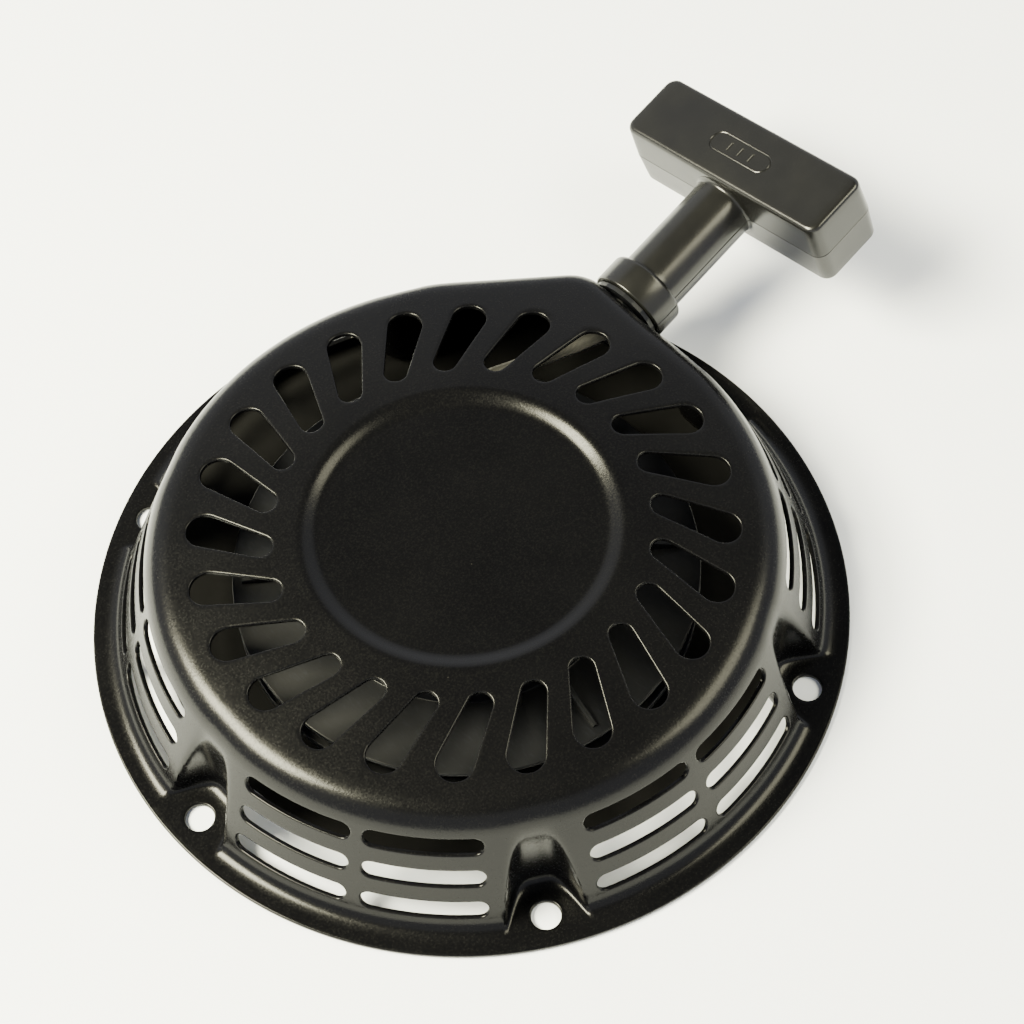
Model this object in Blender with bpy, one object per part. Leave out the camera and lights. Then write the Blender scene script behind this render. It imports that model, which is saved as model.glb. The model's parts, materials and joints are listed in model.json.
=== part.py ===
"""Recoil starter: a pressed steel housing with a sprung rope reel and a T-shaped pull handle.

The origin is on the crank axis, at the underside of the mounting flange and of the centre
screw's head. +Z points out of the housing's top and +X is the way the rope is pulled.
Values are in millimetres and degrees; each mesh is scaled to metres when it is made.
"""
import math

import bmesh
import bpy
from mathutils import Matrix, Vector

MM = 0.001

# ---- clearances ----
gap = 0.3              # between parts that rest on each other
play = 0.6             # between parts that move past each other

# ---- housing: a drawn steel cup with a bolting flange ----
sheet = 1.5
flange_width = 7.6     # flange left outside the wall's foot
wall_foot_radius = 107.4
wall_slope = 0.398     # the wall leans in by this much for each unit of height
pad_height = 44.0      # top face of the round recessed pad
pad_recess = 2.1
pad_ring_width = 5.2
pad_ring_radius = 47.5
dome_radius = 612.0
crown_fillet = 6.0
foot_fillet = 4.0
flange_radius = wall_foot_radius + flange_width

bolt_count = 6
bolt_hole_radius = 4.3
bolt_edge = 9.6        # from the hole's centre to the flange's edge
bolt_angle = -3.9
bolt_circle = flange_radius - bolt_edge
dimple_radius = 11.4   # upright half-round pocket that gives the bolt head room

top_slots = 24
top_slot_angle = 12.9
top_slot_skew = 6.5    # inner end turned ahead of the outer end
top_slot_outer_end = 5.3
top_slot_inner_end = 3.6
top_slot_margin = 16.0  # from the crown's corner to the outer end's centre
top_slot_inset = 11.2   # from the pad's ring to the inner end's centre

side_rows = 3
side_slot_half = 3.0
side_slot_pitch = 12.0  # along the wall
side_slot_top = 31.2    # height of the highest row
side_slot_start = 2.8   # each slot runs between these angles from its sector's middle
side_slot_end = 19.8

# ---- rope outlet: two flat faces that bulge out of the round wall ----
face_angle = -6.0
face_inset = 8.8       # the handle's face, at the flange, lies this much inside the round wall's foot
face_foot = wall_foot_radius - face_inset
cheek_angle = 47.8
cheek_inset = 4.6
cheek_foot = wall_foot_radius - cheek_inset
cheek_slope = 0.25
lobe_corner = 13.0
handle_pitch = 11.3
face_slope = math.tan(math.radians(handle_pitch))

# ---- pull handle ----
handle_side = 27.1     # the pull line passes the crank axis at this distance
handle_height = 24.9   # where the pull line meets the face
handle_twist = 10.6
bar_distance = 62.5    # from the face to the bar's middle
bar_length = 83.0
bar_depth = 25.0
bar_height = 26.8
bar_corner = 4.0
bar_edge = 1.6
bar_draft = 0.5        # each side is wider by this at the parting line
neck_radius = 10.7
collar_radius = 13.2
collar_length = 10.5
seat_standoff = 1.7    # from the face to the guide's flange, which squares up the slanted face
guide_flange = 1.4
guide_clearance = 1.1    # round the rope
guide_barrel = 7.5
guide_length = 10.0
cap_length = 30.0
cap_width = 17.0
cap_thickness = 1.6
cap_recess = 0.9       # the cap sits this far below the bar's outer face
knot_radius = 5.0
knot_washer_radius = 6.5
knot_washer_height = 1.0

# ---- rope ----
rope_diameter = 5.0
rope_clearance = 0.4   # round the rope inside the handle
rope_bore = rope_diameter / 2 + rope_clearance
guide_bore = rope_diameter / 2 + guide_clearance

# ---- centre stack, counted up from the screw's head ----
screw_head = 2.6
screw_head_radius = 5.8
screw_flange = 1.2
screw_flange_radius = 7.0
screw_radius = 2.7
screw_reach = 18.0     # into the post
lock_washer_radius = 6.5
lock_washer_height = 1.1
thrust_washer_radius = 11.0
thrust_washer_height = 1.0
plate_height = 1.5
plate_radius = 40.5
pawl_height = 2.5
pawl_spring_room = 2.4
post_radius = 8.0
post_base_radius = 15.0
post_base_height = 1.5
bushing_wall = 2.1
hub_wall = 2.6
hub_drop = 3.4         # the hub reaches this far below the reel's floor
hub_rise = 4.0

# ---- reel ----
reel_margin = 22.0     # from the crown's corner to the reel's rim
groove_depth = 23.0
groove_room = 1.4       # spare height of the groove over the rope
reel_floor = 1.6
cup_wall = 2.5
cup_headroom = 7.5     # from the cup's rim to the underside of the pad
winding_depth = 15.3
retainer_height = 1.2
retainer_boss = 3.2
retainer_screws = 3
rib_count = 6
rib_thickness = 1.5
rib_height = 6.0

# ---- recoil spring ----
spring_thickness = 0.9
spring_turns = 5.0
spring_height = 13.0
spring_eye = 14.6
anchor_wall = 1.8
anchor_span = 70.0

# ---- pawls ----
pawl_pivot = 30.0
pawl_reach = 20.0
pawl_drop = 3.0        # the tip rests this much nearer the axis than the pivot
pawl_root = 6.2
pawl_tip = 2.4
pawl_pin = 3.0
pawl_travel = 25.0
guide_travel = 20.0
peg_radius = 1.5
peg_reach = 10.0

# ---- worked out from the above ----
reel_floor_z = (screw_head + screw_flange + lock_washer_height + thrust_washer_height
                + plate_height + 5 * gap + pawl_height + pawl_spring_room + gap)
lock_washer_z = screw_head + screw_flange + gap
thrust_washer_z = lock_washer_z + lock_washer_height + gap
plate_z = thrust_washer_z + thrust_washer_height + gap
post_z = plate_z + plate_height + gap
pawl_z = plate_z + plate_height + gap
groove_width = rope_diameter + groove_room
groove_z = reel_floor_z + reel_floor
flange_z = groove_z + groove_width
reel_top_z = flange_z + reel_floor
cup_z = pad_height - sheet - cup_headroom
pad_under_z = pad_height - sheet
groove_middle_z = groove_z + groove_width / 2
bushing_radius = post_radius + gap + bushing_wall
hub_inner = bushing_radius + gap
hub_outer = hub_inner + hub_wall
anchor_outer = spring_eye - play
anchor_inner = anchor_outer - anchor_wall


def dome_z(radius):
    """Height of the domed top outside the pad."""
    return pad_height + pad_recess + (pad_ring_radius ** 2 - radius ** 2) / (2 * dome_radius)


def cone_radius(z):
    return wall_foot_radius - (z - sheet) * wall_slope


crown_radius = wall_foot_radius
for _ in range(6):
    crown_radius = cone_radius(dome_z(crown_radius))
reel_radius = crown_radius - reel_margin
drum_radius = reel_radius - groove_depth
cup_inner = drum_radius - cup_wall
winding_outer = drum_radius + winding_depth
pull_axis = Vector((math.cos(math.radians(handle_pitch)), 0, math.sin(math.radians(handle_pitch))))
face_distance = face_foot - (handle_height - sheet) * face_slope
face_x = ((face_distance - handle_side * math.sin(math.radians(face_angle)))
          / math.cos(math.radians(face_angle)))
face_point = Vector((face_x, handle_side, handle_height))


# ---- scene and materials ----
for thing in list(bpy.data.objects):
    bpy.data.objects.remove(thing, do_unlink=True)


def material(name, colour, roughness, metallic=0.0):
    made = bpy.data.materials.new(name)
    made.use_nodes = True
    shader = made.node_tree.nodes["Principled BSDF"]
    shader.inputs["Base Color"].default_value = (*colour, 1.0)
    shader.inputs["Roughness"].default_value = roughness
    shader.inputs["Metallic"].default_value = metallic
    return made


black_paint = material("black_paint", (0.020, 0.020, 0.019), 0.45, 0.3)
black_pvc = material("black_pvc", (0.018, 0.018, 0.017), 0.4)
black_nylon = material("black_nylon", (0.022, 0.022, 0.026), 0.5)
zinc_steel = material("zinc_steel", (0.55, 0.55, 0.56), 0.3, 1.0)
spring_steel = material("spring_steel", (0.20, 0.20, 0.23), 0.3, 1.0)
grey_rope = material("grey_rope", (0.10, 0.10, 0.11), 0.9)
bronze = material("bronze", (0.45, 0.30, 0.14), 0.4, 1.0)


# ---- mesh helpers, all in millimetres ----
def finish(name, mesh_data, paint, place=None, closed=True):
    """Turn a bmesh into a scene object, scaled to metres, with faces pointing out."""
    if closed:
        bmesh.ops.recalc_face_normals(mesh_data, faces=mesh_data.faces)
    bmesh.ops.scale(mesh_data, vec=(MM, MM, MM), verts=mesh_data.verts)
    mesh = bpy.data.meshes.new(name)
    mesh_data.to_mesh(mesh)
    mesh_data.free()
    mesh.shade_smooth()
    mesh.set_sharp_from_angle(angle=math.radians(35))
    made = bpy.data.objects.new(name, mesh)
    bpy.context.collection.objects.link(made)
    if paint:
        mesh.materials.append(paint)
    if place is not None:
        made.matrix_world = place
    return made


def bridge(mesh_data, first, second, closed=True):
    """Quads between two rows of vertices that have the same count."""
    count = len(first)
    for i in range(count if closed else count - 1):
        j = (i + 1) % count
        mesh_data.faces.new((first[i], first[j], second[j], second[i]))


def loft(rings, mesh_data=None):
    """A closed body through rings of points, with a flat cap on the first and the last."""
    mesh_data = mesh_data or bmesh.new()
    rows = [[mesh_data.verts.new(p) for p in ring] for ring in rings]
    for first, second in zip(rows, rows[1:]):
        bridge(mesh_data, first, second)
    mesh_data.faces.new(rows[0])
    mesh_data.faces.new(rows[-1])
    return mesh_data


def turned(profile, segments, mesh_data=None, centre=(0.0, 0.0)):
    """Turn a closed profile of (radius, z) points about Z; a radius of 0 is a pole."""
    mesh_data = mesh_data or bmesh.new()
    rows = []
    for radius, z in profile:
        if radius == 0:
            rows.append([mesh_data.verts.new((*centre, z))])
            continue
        row = []
        for i in range(segments):
            angle = 2 * math.pi * i / segments
            x = centre[0] + radius * math.cos(angle)
            y = centre[1] + radius * math.sin(angle)
            row.append(mesh_data.verts.new((x, y, z)))
        rows.append(row)
    for first, second in zip(rows, rows[1:] + rows[:1]):
        if len(first) == 1 and len(second) == 1:
            continue
        if len(first) == 1 or len(second) == 1:
            pole, rim = (first, second) if len(first) == 1 else (second, first)
            for i in range(segments):
                mesh_data.faces.new((pole[0], rim[i], rim[(i + 1) % segments]))
        else:
            bridge(mesh_data, first, second)
    return mesh_data


def washer(inner, outer, low, high, segments, mesh_data=None, centre=(0.0, 0.0)):
    profile = [(inner, low), (outer, low), (outer, high), (inner, high)]
    return turned(profile, segments, mesh_data, centre)


def disc(radius, low, high, segments, mesh_data=None, centre=(0.0, 0.0)):
    profile = [(0, low), (radius, low), (radius, high), (0, high)]
    return turned(profile, segments, mesh_data, centre)


def prism(outline, low, high, mesh_data=None):
    return loft([[(x, y, low) for x, y in outline], [(x, y, high) for x, y in outline]], mesh_data)


def polar(radius, degrees, centre=(0.0, 0.0)):
    angle = math.radians(degrees)
    return (centre[0] + radius * math.cos(angle), centre[1] + radius * math.sin(angle))


def capsule(start, start_radius, end, end_radius, arc_steps):
    """Outline of two circles and their outer tangents."""
    run = Vector(end) - Vector(start)
    heading = math.degrees(math.atan2(run.y, run.x))
    spread = math.degrees(math.acos((start_radius - end_radius) / run.length))
    points = []
    for i in range(arc_steps + 1):
        points.append(polar(end_radius, heading - spread + 2 * spread * i / arc_steps, end))
    for i in range(arc_steps + 1):
        turn = heading + spread + (360 - 2 * spread) * i / arc_steps
        points.append(polar(start_radius, turn, start))
    return points


def rounded_box(half_x, half_y, corner, steps):
    points = []
    for quarter, (sx, sy) in enumerate(((1, 1), (-1, 1), (-1, -1), (1, -1))):
        centre = (sx * (half_x - corner), sy * (half_y - corner))
        for i in range(steps + 1):
            points.append(polar(corner, 90 * quarter + 90 * i / steps, centre))
    return points


def cutter(name, mesh_data, place=None):
    made = finish(name, mesh_data, None, place)
    made.hide_render = True
    made.display_type = "WIRE"
    return made


def combine(target, other, operation):
    change = target.modifiers.new(other.name, "BOOLEAN")
    change.operation = operation
    change.solver = "EXACT"
    change.object = other


def tube(name, points, radius, paint, resolution=2):
    """A round wire through points, with filled ends."""
    curve = bpy.data.curves.new(name, "CURVE")
    curve.dimensions = "3D"
    curve.bevel_depth = radius * MM
    curve.bevel_resolution = resolution
    curve.use_fill_caps = True
    spline = curve.splines.new("POLY")
    spline.points.add(len(points) - 1)
    for slot, point in zip(spline.points, points):
        slot.co = (point[0] * MM, point[1] * MM, point[2] * MM, 1)
    curve.materials.append(paint)
    made = bpy.data.objects.new(name, curve)
    bpy.context.collection.objects.link(made)
    return made


def smooth_path(points, steps):
    """Points on a Catmull-Rom curve through the route's own points."""
    ends = [points[0] * 2 - points[1], *points, points[-1] * 2 - points[-2]]
    path = []
    for a, b, c, d in zip(ends, ends[1:], ends[2:], ends[3:]):
        for i in range(steps):
            t = i / steps
            path.append(0.5 * (2 * b + (c - a) * t + (2 * a - 5 * b + 4 * c - d) * t * t
                               + (3 * b - a - 3 * c + d) * t ** 3))
    return path + [points[-1]]


# ---- housing ----
def lobe_radius(degrees, z):
    """Distance to the outlet's two flat faces and their rounded corner.

    Past the end of each face the distance falls away as a cosine, so the round wall takes over.
    """
    face = face_foot - (z - sheet) * face_slope
    cheek = cheek_foot - (z - sheet) * cheek_slope
    degrees = (degrees + 180) % 360 - 180
    to_face = math.cos(math.radians(degrees - face_angle))
    to_cheek = math.cos(math.radians(degrees - cheek_angle))
    if degrees < face_angle:
        return face * max(to_face, 0.0)
    if degrees > cheek_angle:
        return cheek * max(to_cheek, 0.0)
    face_normal = Vector(polar(1, face_angle))
    cheek_normal = Vector(polar(1, cheek_angle))
    determinant = face_normal.x * cheek_normal.y - face_normal.y * cheek_normal.x
    a = face - lobe_corner
    b = cheek - lobe_corner
    centre = Vector(((a * cheek_normal.y - b * face_normal.y) / determinant,
                     (b * face_normal.x - a * cheek_normal.x) / determinant))
    ray = Vector(polar(1, degrees))
    across = ray.x * centre.y - ray.y * centre.x
    if abs(across) < lobe_corner:
        reach = ray.dot(centre) + math.sqrt(lobe_corner ** 2 - across ** 2)
        touch = ray * reach - centre
        if face_angle <= math.degrees(math.atan2(touch.y, touch.x)) <= cheek_angle:
            return reach
    return min(face / to_face, cheek / to_cheek)


def wall_radius(degrees, z):
    """The drawn wall: cone and outlet together, with the bolt dimples pressed in."""
    cone = cone_radius(z)
    lobe = lobe_radius(degrees, z)
    radius = 0.5 * (cone + lobe + math.sqrt((cone - lobe) ** 2 + 1.0))
    if z > crown_z - crown_fillet:
        return radius
    pitch = 360 / bolt_count
    off = (degrees - bolt_angle + pitch / 2) % pitch - pitch / 2
    side = bolt_circle * math.sin(math.radians(off))
    if abs(side) < dimple_radius:
        near = bolt_circle * math.cos(math.radians(off)) - math.sqrt(dimple_radius ** 2 - side ** 2)
        radius = min(radius, near)
    return radius


crown_z = dome_z(crown_radius)


def bezier(start, middle, end, t):
    return tuple((1 - t) ** 2 * s + 2 * t * (1 - t) * m + t * t * e
                 for s, m, e in zip(start, middle, end))


def housing_profile(degrees):
    """(radius, z) of the outer skin from the pad's edge to the flange's edge."""
    corner = crown_radius
    for _ in range(6):
        corner = wall_radius(degrees, max(dome_z(corner), crown_z - crown_fillet + 0.01))
    top_edge = corner - crown_fillet
    points = [(pad_ring_radius - pad_ring_width, pad_height)]
    for share in (0.0, 0.34, 0.67, 1.0):
        radius = pad_ring_radius + (top_edge - pad_ring_radius) * share
        points.append((radius, dome_z(radius)))
    low_z = crown_z - crown_fillet
    wall_top = (wall_radius(degrees, low_z), low_z)
    for t in (0.35, 0.7, 1.0):
        points.append(bezier(points[4], (corner, dome_z(corner)), wall_top, t))
    foot_z = sheet + foot_fillet
    for share in (0.25, 0.5, 0.75, 1.0):
        z = low_z + (foot_z - low_z) * share
        points.append((wall_radius(degrees, z), z))
    foot = wall_radius(degrees, sheet)
    foot_end = min(foot + foot_fillet, flange_radius - 0.6)
    points.append(bezier(points[-1], (foot, sheet), (foot_end, sheet), 0.5))
    points.append((foot_end, sheet))
    points.append((flange_radius, sheet))
    return points


def build_housing():
    dimple = math.degrees(math.asin(dimple_radius / bolt_circle))
    pitch = 360 / bolt_count
    shares = (0.0, 0.45, 0.85, 1.1)
    near = [dimple * share for share in shares]
    far = [near[-1] + (pitch / 2 - near[-1]) * share for share in (0.36, 0.7)]
    sector = sorted([-a for a in near[1:] + far] + near + far + [pitch / 2])
    angles = [bolt_angle + pitch * k + off for k in range(bolt_count) for off in sector]
    shell = bmesh.new()
    columns = []
    for degrees in angles:
        columns.append([shell.verts.new((*polar(radius, degrees), z))
                        for radius, z in housing_profile(degrees)])
    for left, right in zip(columns, columns[1:] + columns[:1]):
        bridge(shell, left, right, closed=False)
    shell.faces.new([column[0] for column in columns])
    housing = finish("starter_housing", shell, black_paint, closed=False)
    wall = housing.modifiers.new("sheet", "SOLIDIFY")
    wall.thickness = sheet * MM
    wall.offset = -1
    wall.use_even_offset = True

    slots = bmesh.new()
    for k in range(top_slots):
        degrees = top_slot_angle + 360 / top_slots * k
        outer = polar(crown_radius - top_slot_margin, degrees)
        inner = polar(pad_ring_radius + top_slot_inset, degrees + top_slot_skew)
        outline = capsule(outer, top_slot_outer_end, inner, top_slot_inner_end, 4)
        prism(outline, cup_z + retainer_height, pad_height + 2 * pad_recess, slots)
    combine(housing, cutter("top_slot_cutter", slots), "DIFFERENCE")

    grooves = bmesh.new()
    lean = math.hypot(1, wall_slope)
    for k in range(bolt_count):
        middle = bolt_angle + pitch * (k + 0.5)
        if face_angle < middle < cheek_angle:
            continue
        for row in range(side_rows):
            z = side_slot_top - row * side_slot_pitch / lean
            for side in (-1, 1):
                side_slot(grooves, middle, side, z, lean)
    combine(housing, cutter("side_slot_cutter", grooves), "DIFFERENCE")

    holes = bmesh.new()
    for k in range(bolt_count):
        disc(bolt_hole_radius, -sheet, 3 * sheet, 12, holes, polar(bolt_circle, bolt_angle + pitch * k))
    combine(housing, cutter("bolt_hole_cutter", holes), "DIFFERENCE")

    mouth = disc(guide_barrel + gap, -8, 8, 18)
    combine(housing, cutter("guide_hole_cutter", mouth, guide_place()), "DIFFERENCE")
    return housing


def side_slot(mesh_data, middle, side, z, lean):
    """Cutter for one slot that follows the cone: its outline is drawn on the wall itself."""
    radius = cone_radius(z)
    start = math.radians(side_slot_start) * radius
    end = math.radians(side_slot_end) * radius
    outline = [((start + end) / 2, -side_slot_half)]
    outline += [polar(side_slot_half, -90 + 60 * i, (end, 0)) for i in range(4)]
    outline += [((start + end) / 2, side_slot_half)]
    outline += [polar(side_slot_half, 90 + 60 * i, (start, 0)) for i in range(4)]
    rings = []
    for depth in (-4.0, 4.0):
        ring = []
        for along, up in outline:
            r = radius - up * wall_slope / lean + depth / lean
            height = z + up / lean + depth * wall_slope / lean
            ring.append((*polar(r, middle + side * math.degrees(along / radius)), height))
        rings.append(ring)
    loft(rings, mesh_data)


def lying(place):
    """Turn a shape that was made standing on Z so that its Z runs along the pull line."""
    return place @ Matrix.Rotation(math.radians(90), 4, "Y")


def handle_place():
    """Handle frame: X along the pull line from the face, Z nearly up, twisted about X."""
    return (Matrix.Translation(face_point * MM)
            @ Matrix.Rotation(math.radians(-handle_pitch), 4, "Y")
            @ Matrix.Rotation(math.radians(-handle_twist), 4, "X"))


def guide_place():
    return lying(handle_place())


def build_rope_guide():
    flange_back = seat_standoff
    flange_front = flange_back + guide_flange
    inner_end = flange_back - guide_length
    profile = [(guide_bore, inner_end + 2), (guide_bore + 2, inner_end), (guide_barrel, inner_end),
               (guide_barrel, flange_back), (collar_radius - 1.2, flange_back),
               (collar_radius - 1.2, flange_front), (guide_bore + 1, flange_front),
               (guide_bore, flange_front - 1)]
    return finish("rope_guide", turned(profile, 20), black_nylon, guide_place())


def build_handle():
    parent = bpy.data.objects.new("pull_line", None)
    bpy.context.collection.objects.link(parent)
    parent.matrix_world = handle_place()
    place = handle_place()

    half_x = bar_depth / 2
    half_y = bar_length / 2
    half_z = bar_height / 2
    levels = [(-half_z, bar_draft + bar_edge), (-half_z + bar_edge, bar_draft), (0, 0),
              (half_z - bar_edge, bar_draft), (half_z, bar_draft + bar_edge)]
    rings = []
    for z, inset in levels:
        outline = rounded_box(half_x - inset, half_y - inset, bar_corner, 3)
        rings.append([(bar_distance + x, y, z) for x, y in outline])
    handle = finish("pull_handle", loft(rings), black_pvc, place)

    collar_end = seat_standoff + guide_flange + gap
    neck_end = bar_distance - half_x + 6
    profile = [(0, collar_end), (collar_radius, collar_end), (collar_radius, collar_end + collar_length - 1),
               (collar_radius - 1, collar_end + collar_length), (neck_radius, collar_end + collar_length),
               (neck_radius, neck_end), (0, neck_end)]
    neck = cutter("neck_core", turned(profile, 24), lying(place))
    combine(handle, neck, "UNION")
    bore_end = bar_distance + half_x
    bore = cutter("handle_bore", disc(rope_bore, 0, bore_end, 10), lying(place))
    combine(handle, bore, "DIFFERENCE")

    pocket_depth = cap_recess + cap_thickness + 2 * knot_radius + knot_washer_height + 3 * gap
    pocket_floor = bar_distance + half_x - pocket_depth
    rings = []
    for x in (pocket_floor, bar_distance + half_x + 4):
        rings.append([(x, y, z) for y, z in rounded_box(cap_length / 2, cap_width / 2, 3, 2)])
    pocket = cutter("knot_pocket", loft(rings), place)
    combine(handle, pocket, "DIFFERENCE")

    rings = []
    cap_end = bar_distance + half_x - cap_recess
    for x in (cap_end - cap_thickness, cap_end):
        outline = rounded_box(cap_length / 2 - gap, cap_width / 2 - gap, 3 - gap, 2)
        rings.append([(x, y, z) for y, z in outline])
    cap = finish("handle_end_cap", loft(rings), black_pvc, place)

    washer_start = pocket_floor + gap
    washer_end = washer_start + knot_washer_height
    ring = washer(rope_bore, knot_washer_radius, washer_start, washer_end, 16)
    knot_washer = finish("knot_washer", ring, zinc_steel, lying(place))
    knot_middle = washer_end + gap / 2 + knot_radius
    profile = [(0, knot_middle - knot_radius)]
    for i in range(1, 6):
        turn = math.radians(-90 + 30 * i)
        profile.append((knot_radius * math.cos(turn), knot_middle + knot_radius * math.sin(turn)))
    profile.append((0, knot_middle + knot_radius))
    knot = finish("handle_knot", turned(profile, 12), grey_rope, lying(place))
    for piece in (handle, cap, knot_washer, knot):
        piece.parent = parent
        piece.matrix_parent_inverse = parent.matrix_world.inverted()
    return knot_middle - knot_radius


def build_rope_lead(knot_start):
    """Rope from the knot, down the handle's bore and the guide, onto the winding."""
    start = face_point + pull_axis * (knot_start - gap)
    inside = face_point - pull_axis * (guide_length - seat_standoff)
    radius = winding_outer + gap + rope_diameter / 2
    turn = math.atan2(inside.y, inside.x) + math.acos(radius / math.hypot(inside.x, inside.y))
    touch = Vector((radius * math.cos(turn), radius * math.sin(turn), groove_middle_z))
    heading = Vector((math.sin(turn), -math.cos(turn), 0))
    straight = (start - inside).length
    route = [start, start - pull_axis * straight * 0.33, start - pull_axis * straight * 0.66,
             inside + pull_axis * 6, inside - pull_axis * 1 + heading * -3,
             touch + heading * 26, touch + heading * 13, touch]
    route[4] = inside + (route[5] - inside).normalized() * 3 - Vector((0, 0, 0.3))
    return tube("rope_lead", smooth_path(route, 4), rope_diameter / 2 * 0.98, grey_rope)


# ---- reel and what turns with it ----
def build_reel():
    bottom = reel_floor_z - hub_drop
    profile = [(hub_inner, bottom), (hub_outer, bottom), (hub_outer, reel_floor_z),
               (reel_radius, reel_floor_z), (reel_radius, groove_z), (drum_radius, groove_z),
               (drum_radius, flange_z), (reel_radius, flange_z), (reel_radius, reel_top_z),
               (drum_radius, reel_top_z), (drum_radius, cup_z), (cup_inner, cup_z),
               (cup_inner, groove_z), (hub_outer, groove_z), (hub_outer, groove_z + hub_rise),
               (hub_inner, groove_z + hub_rise)]
    reel = finish("rope_reel", turned(profile, 40), black_nylon)
    ribs = bmesh.new()
    for k in range(rib_count):
        heading = Matrix.Rotation(2 * math.pi * (k + 0.3) / rib_count, 3, "Z")
        inner = drum_radius - cup_wall / 2
        outer = reel_radius - 3
        low = reel_top_z - reel_floor / 2
        side = rib_thickness / 2
        rings = [[heading @ Vector(p) for p in
                  ((inner, y, low), (outer, y, low), (outer, y, reel_top_z + 1),
                   (inner, y, reel_top_z + rib_height))] for y in (-side, side)]
        loft(rings, ribs)
    combine(reel, cutter("reel_ribs", ribs), "UNION")
    bosses = bmesh.new()
    for k in range(retainer_screws):
        centre = polar(drum_radius + retainer_boss / 2, 360 / retainer_screws * k)
        disc(retainer_boss, reel_top_z - reel_floor / 2, cup_z, 12, bosses, centre)
    combine(reel, cutter("screw_bosses", bosses), "UNION")
    holes = bmesh.new()
    for k in range(retainer_screws):
        centre = polar(drum_radius + retainer_boss / 2, 360 / retainer_screws * k)
        disc(1.5 + gap, cup_z - 7, cup_z + 2, 8, holes, centre)
    for k in range(2):
        centre = polar(pawl_pivot, 90 + 180 * k)
        disc(pawl_pin + gap, reel_floor_z - 2, groove_z + 1, 12, holes, centre)
    combine(reel, cutter("reel_holes", holes), "DIFFERENCE")
    return reel


def build_retainer():
    low = cup_z + gap
    high = low + retainer_height
    plate = finish("spring_retainer_plate", washer(anchor_outer + 2 * play, drum_radius, low, high, 32),
                   zinc_steel)
    ears = bmesh.new()
    holes = bmesh.new()
    for k in range(retainer_screws):
        centre = polar(drum_radius + retainer_boss / 2, 360 / retainer_screws * k)
        disc(retainer_boss, low, high, 12, ears, centre)
        disc(1.5 + gap, low - 1, high + 1, 8, holes, centre)
        screw = turned([(0, cup_z - 6), (1.5, cup_z - 6), (1.5, high + gap), (2.7, high + gap),
                        (2.4, high + 1.6), (0, high + 1.8)], 8, None, centre)
        finish("retainer_screw_%d" % (k + 1), screw, zinc_steel)
    combine(plate, cutter("retainer_ears", ears), "UNION")
    combine(plate, cutter("retainer_holes", holes), "DIFFERENCE")


def build_recoil_spring():
    """Flat strip coiled from the eye at the anchor out to the cup's wall."""
    low = groove_z + hub_rise + play
    high = min(low + spring_height, cup_z - 2 * gap)
    outer = cup_inner - 2 * play
    steps = int(spring_turns * 24)
    tip = [polar(anchor_inner + 0.3, 0), polar(anchor_inner + 1.4, 0)]
    middle = list(tip)
    for i in range(steps + 1):
        share = i / steps
        radius = spring_eye + spring_thickness / 2 + (outer - spring_eye - spring_thickness) * share
        middle.append(polar(radius, 4 + 360 * spring_turns * share))
    strip = bmesh.new()
    rings = []
    for i, point in enumerate(middle):
        ahead = Vector(middle[min(i + 1, len(middle) - 1)]) - Vector(middle[max(i - 1, 0)])
        side = Vector((-ahead.y, ahead.x)).normalized() * spring_thickness / 2
        left = Vector(point) + side
        right = Vector(point) - side
        rings.append([(left.x, left.y, low), (right.x, right.y, low),
                      (right.x, right.y, high), (left.x, left.y, high)])
    loft(rings, strip)
    finish("recoil_spring", strip, spring_steel)
    hook = []
    start = math.degrees(spring_thickness / anchor_inner) + 3
    for i in range(7):
        hook.append(polar(anchor_outer, -start - anchor_span * i / 6))
    for i in range(6, -1, -1):
        hook.append(polar(anchor_inner, -start - anchor_span * i / 6))
    finish("spring_anchor", prism(hook, low + play, pad_under_z - post_base_height - 2 * gap), zinc_steel)


def build_post():
    top = pad_under_z - gap
    base = top - post_base_height
    bore = screw_radius + gap
    profile = [(0, top), (post_base_radius, top), (post_base_radius, base), (post_radius, base),
               (post_radius, post_z), (bore, post_z), (bore, post_z + screw_reach + 2),
               (0, post_z + screw_reach + 3)]
    finish("centre_post", turned(profile, 24), zinc_steel)
    low = reel_floor_z - hub_drop
    bushing = washer(post_radius + gap, bushing_radius, low, groove_z + hub_rise, 24)
    finish("reel_bushing", bushing, bronze)


def build_centre_stack():
    flange_low = screw_head
    flange_high = screw_head + screw_flange
    profile = [(0, flange_low - 0.6), (screw_flange_radius, flange_low), (screw_flange_radius, flange_high),
               (screw_radius, flange_high), (screw_radius, post_z + screw_reach),
               (0, post_z + screw_reach)]
    screw = finish("centre_screw", turned(profile, 24), zinc_steel)
    hexagon = [polar(screw_head_radius, 60 * i) for i in range(6)]
    combine(screw, cutter("screw_hexagon", prism(hexagon, 0, screw_head + 0.4)), "UNION")
    bore = screw_radius + gap
    finish("lock_washer", washer(bore, lock_washer_radius, lock_washer_z,
                                 lock_washer_z + lock_washer_height, 20), zinc_steel)
    finish("thrust_washer", washer(bore, thrust_washer_radius, thrust_washer_z,
                                   thrust_washer_z + thrust_washer_height, 24), zinc_steel)

    plate = finish("friction_plate", washer(bore, plate_radius, plate_z, plate_z + plate_height, 40),
                   zinc_steel)
    slots = bmesh.new()
    for k in range(2):
        cam_slot(slots, 180 * k)
    combine(plate, cutter("cam_slots", slots), "DIFFERENCE")

    wire = 0.8
    ring_z = plate_z + plate_height + gap + wire
    points = []
    for i in range(25):
        points.append((*polar(hub_inner + 1.2, 340 * i / 24), ring_z))
    points.insert(0, (*polar(hub_inner + 5.5, 4), ring_z))
    points.append((*polar(hub_inner + 5.5, 336), ring_z))
    tube("friction_spring", points, wire, spring_steel, 1)


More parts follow.
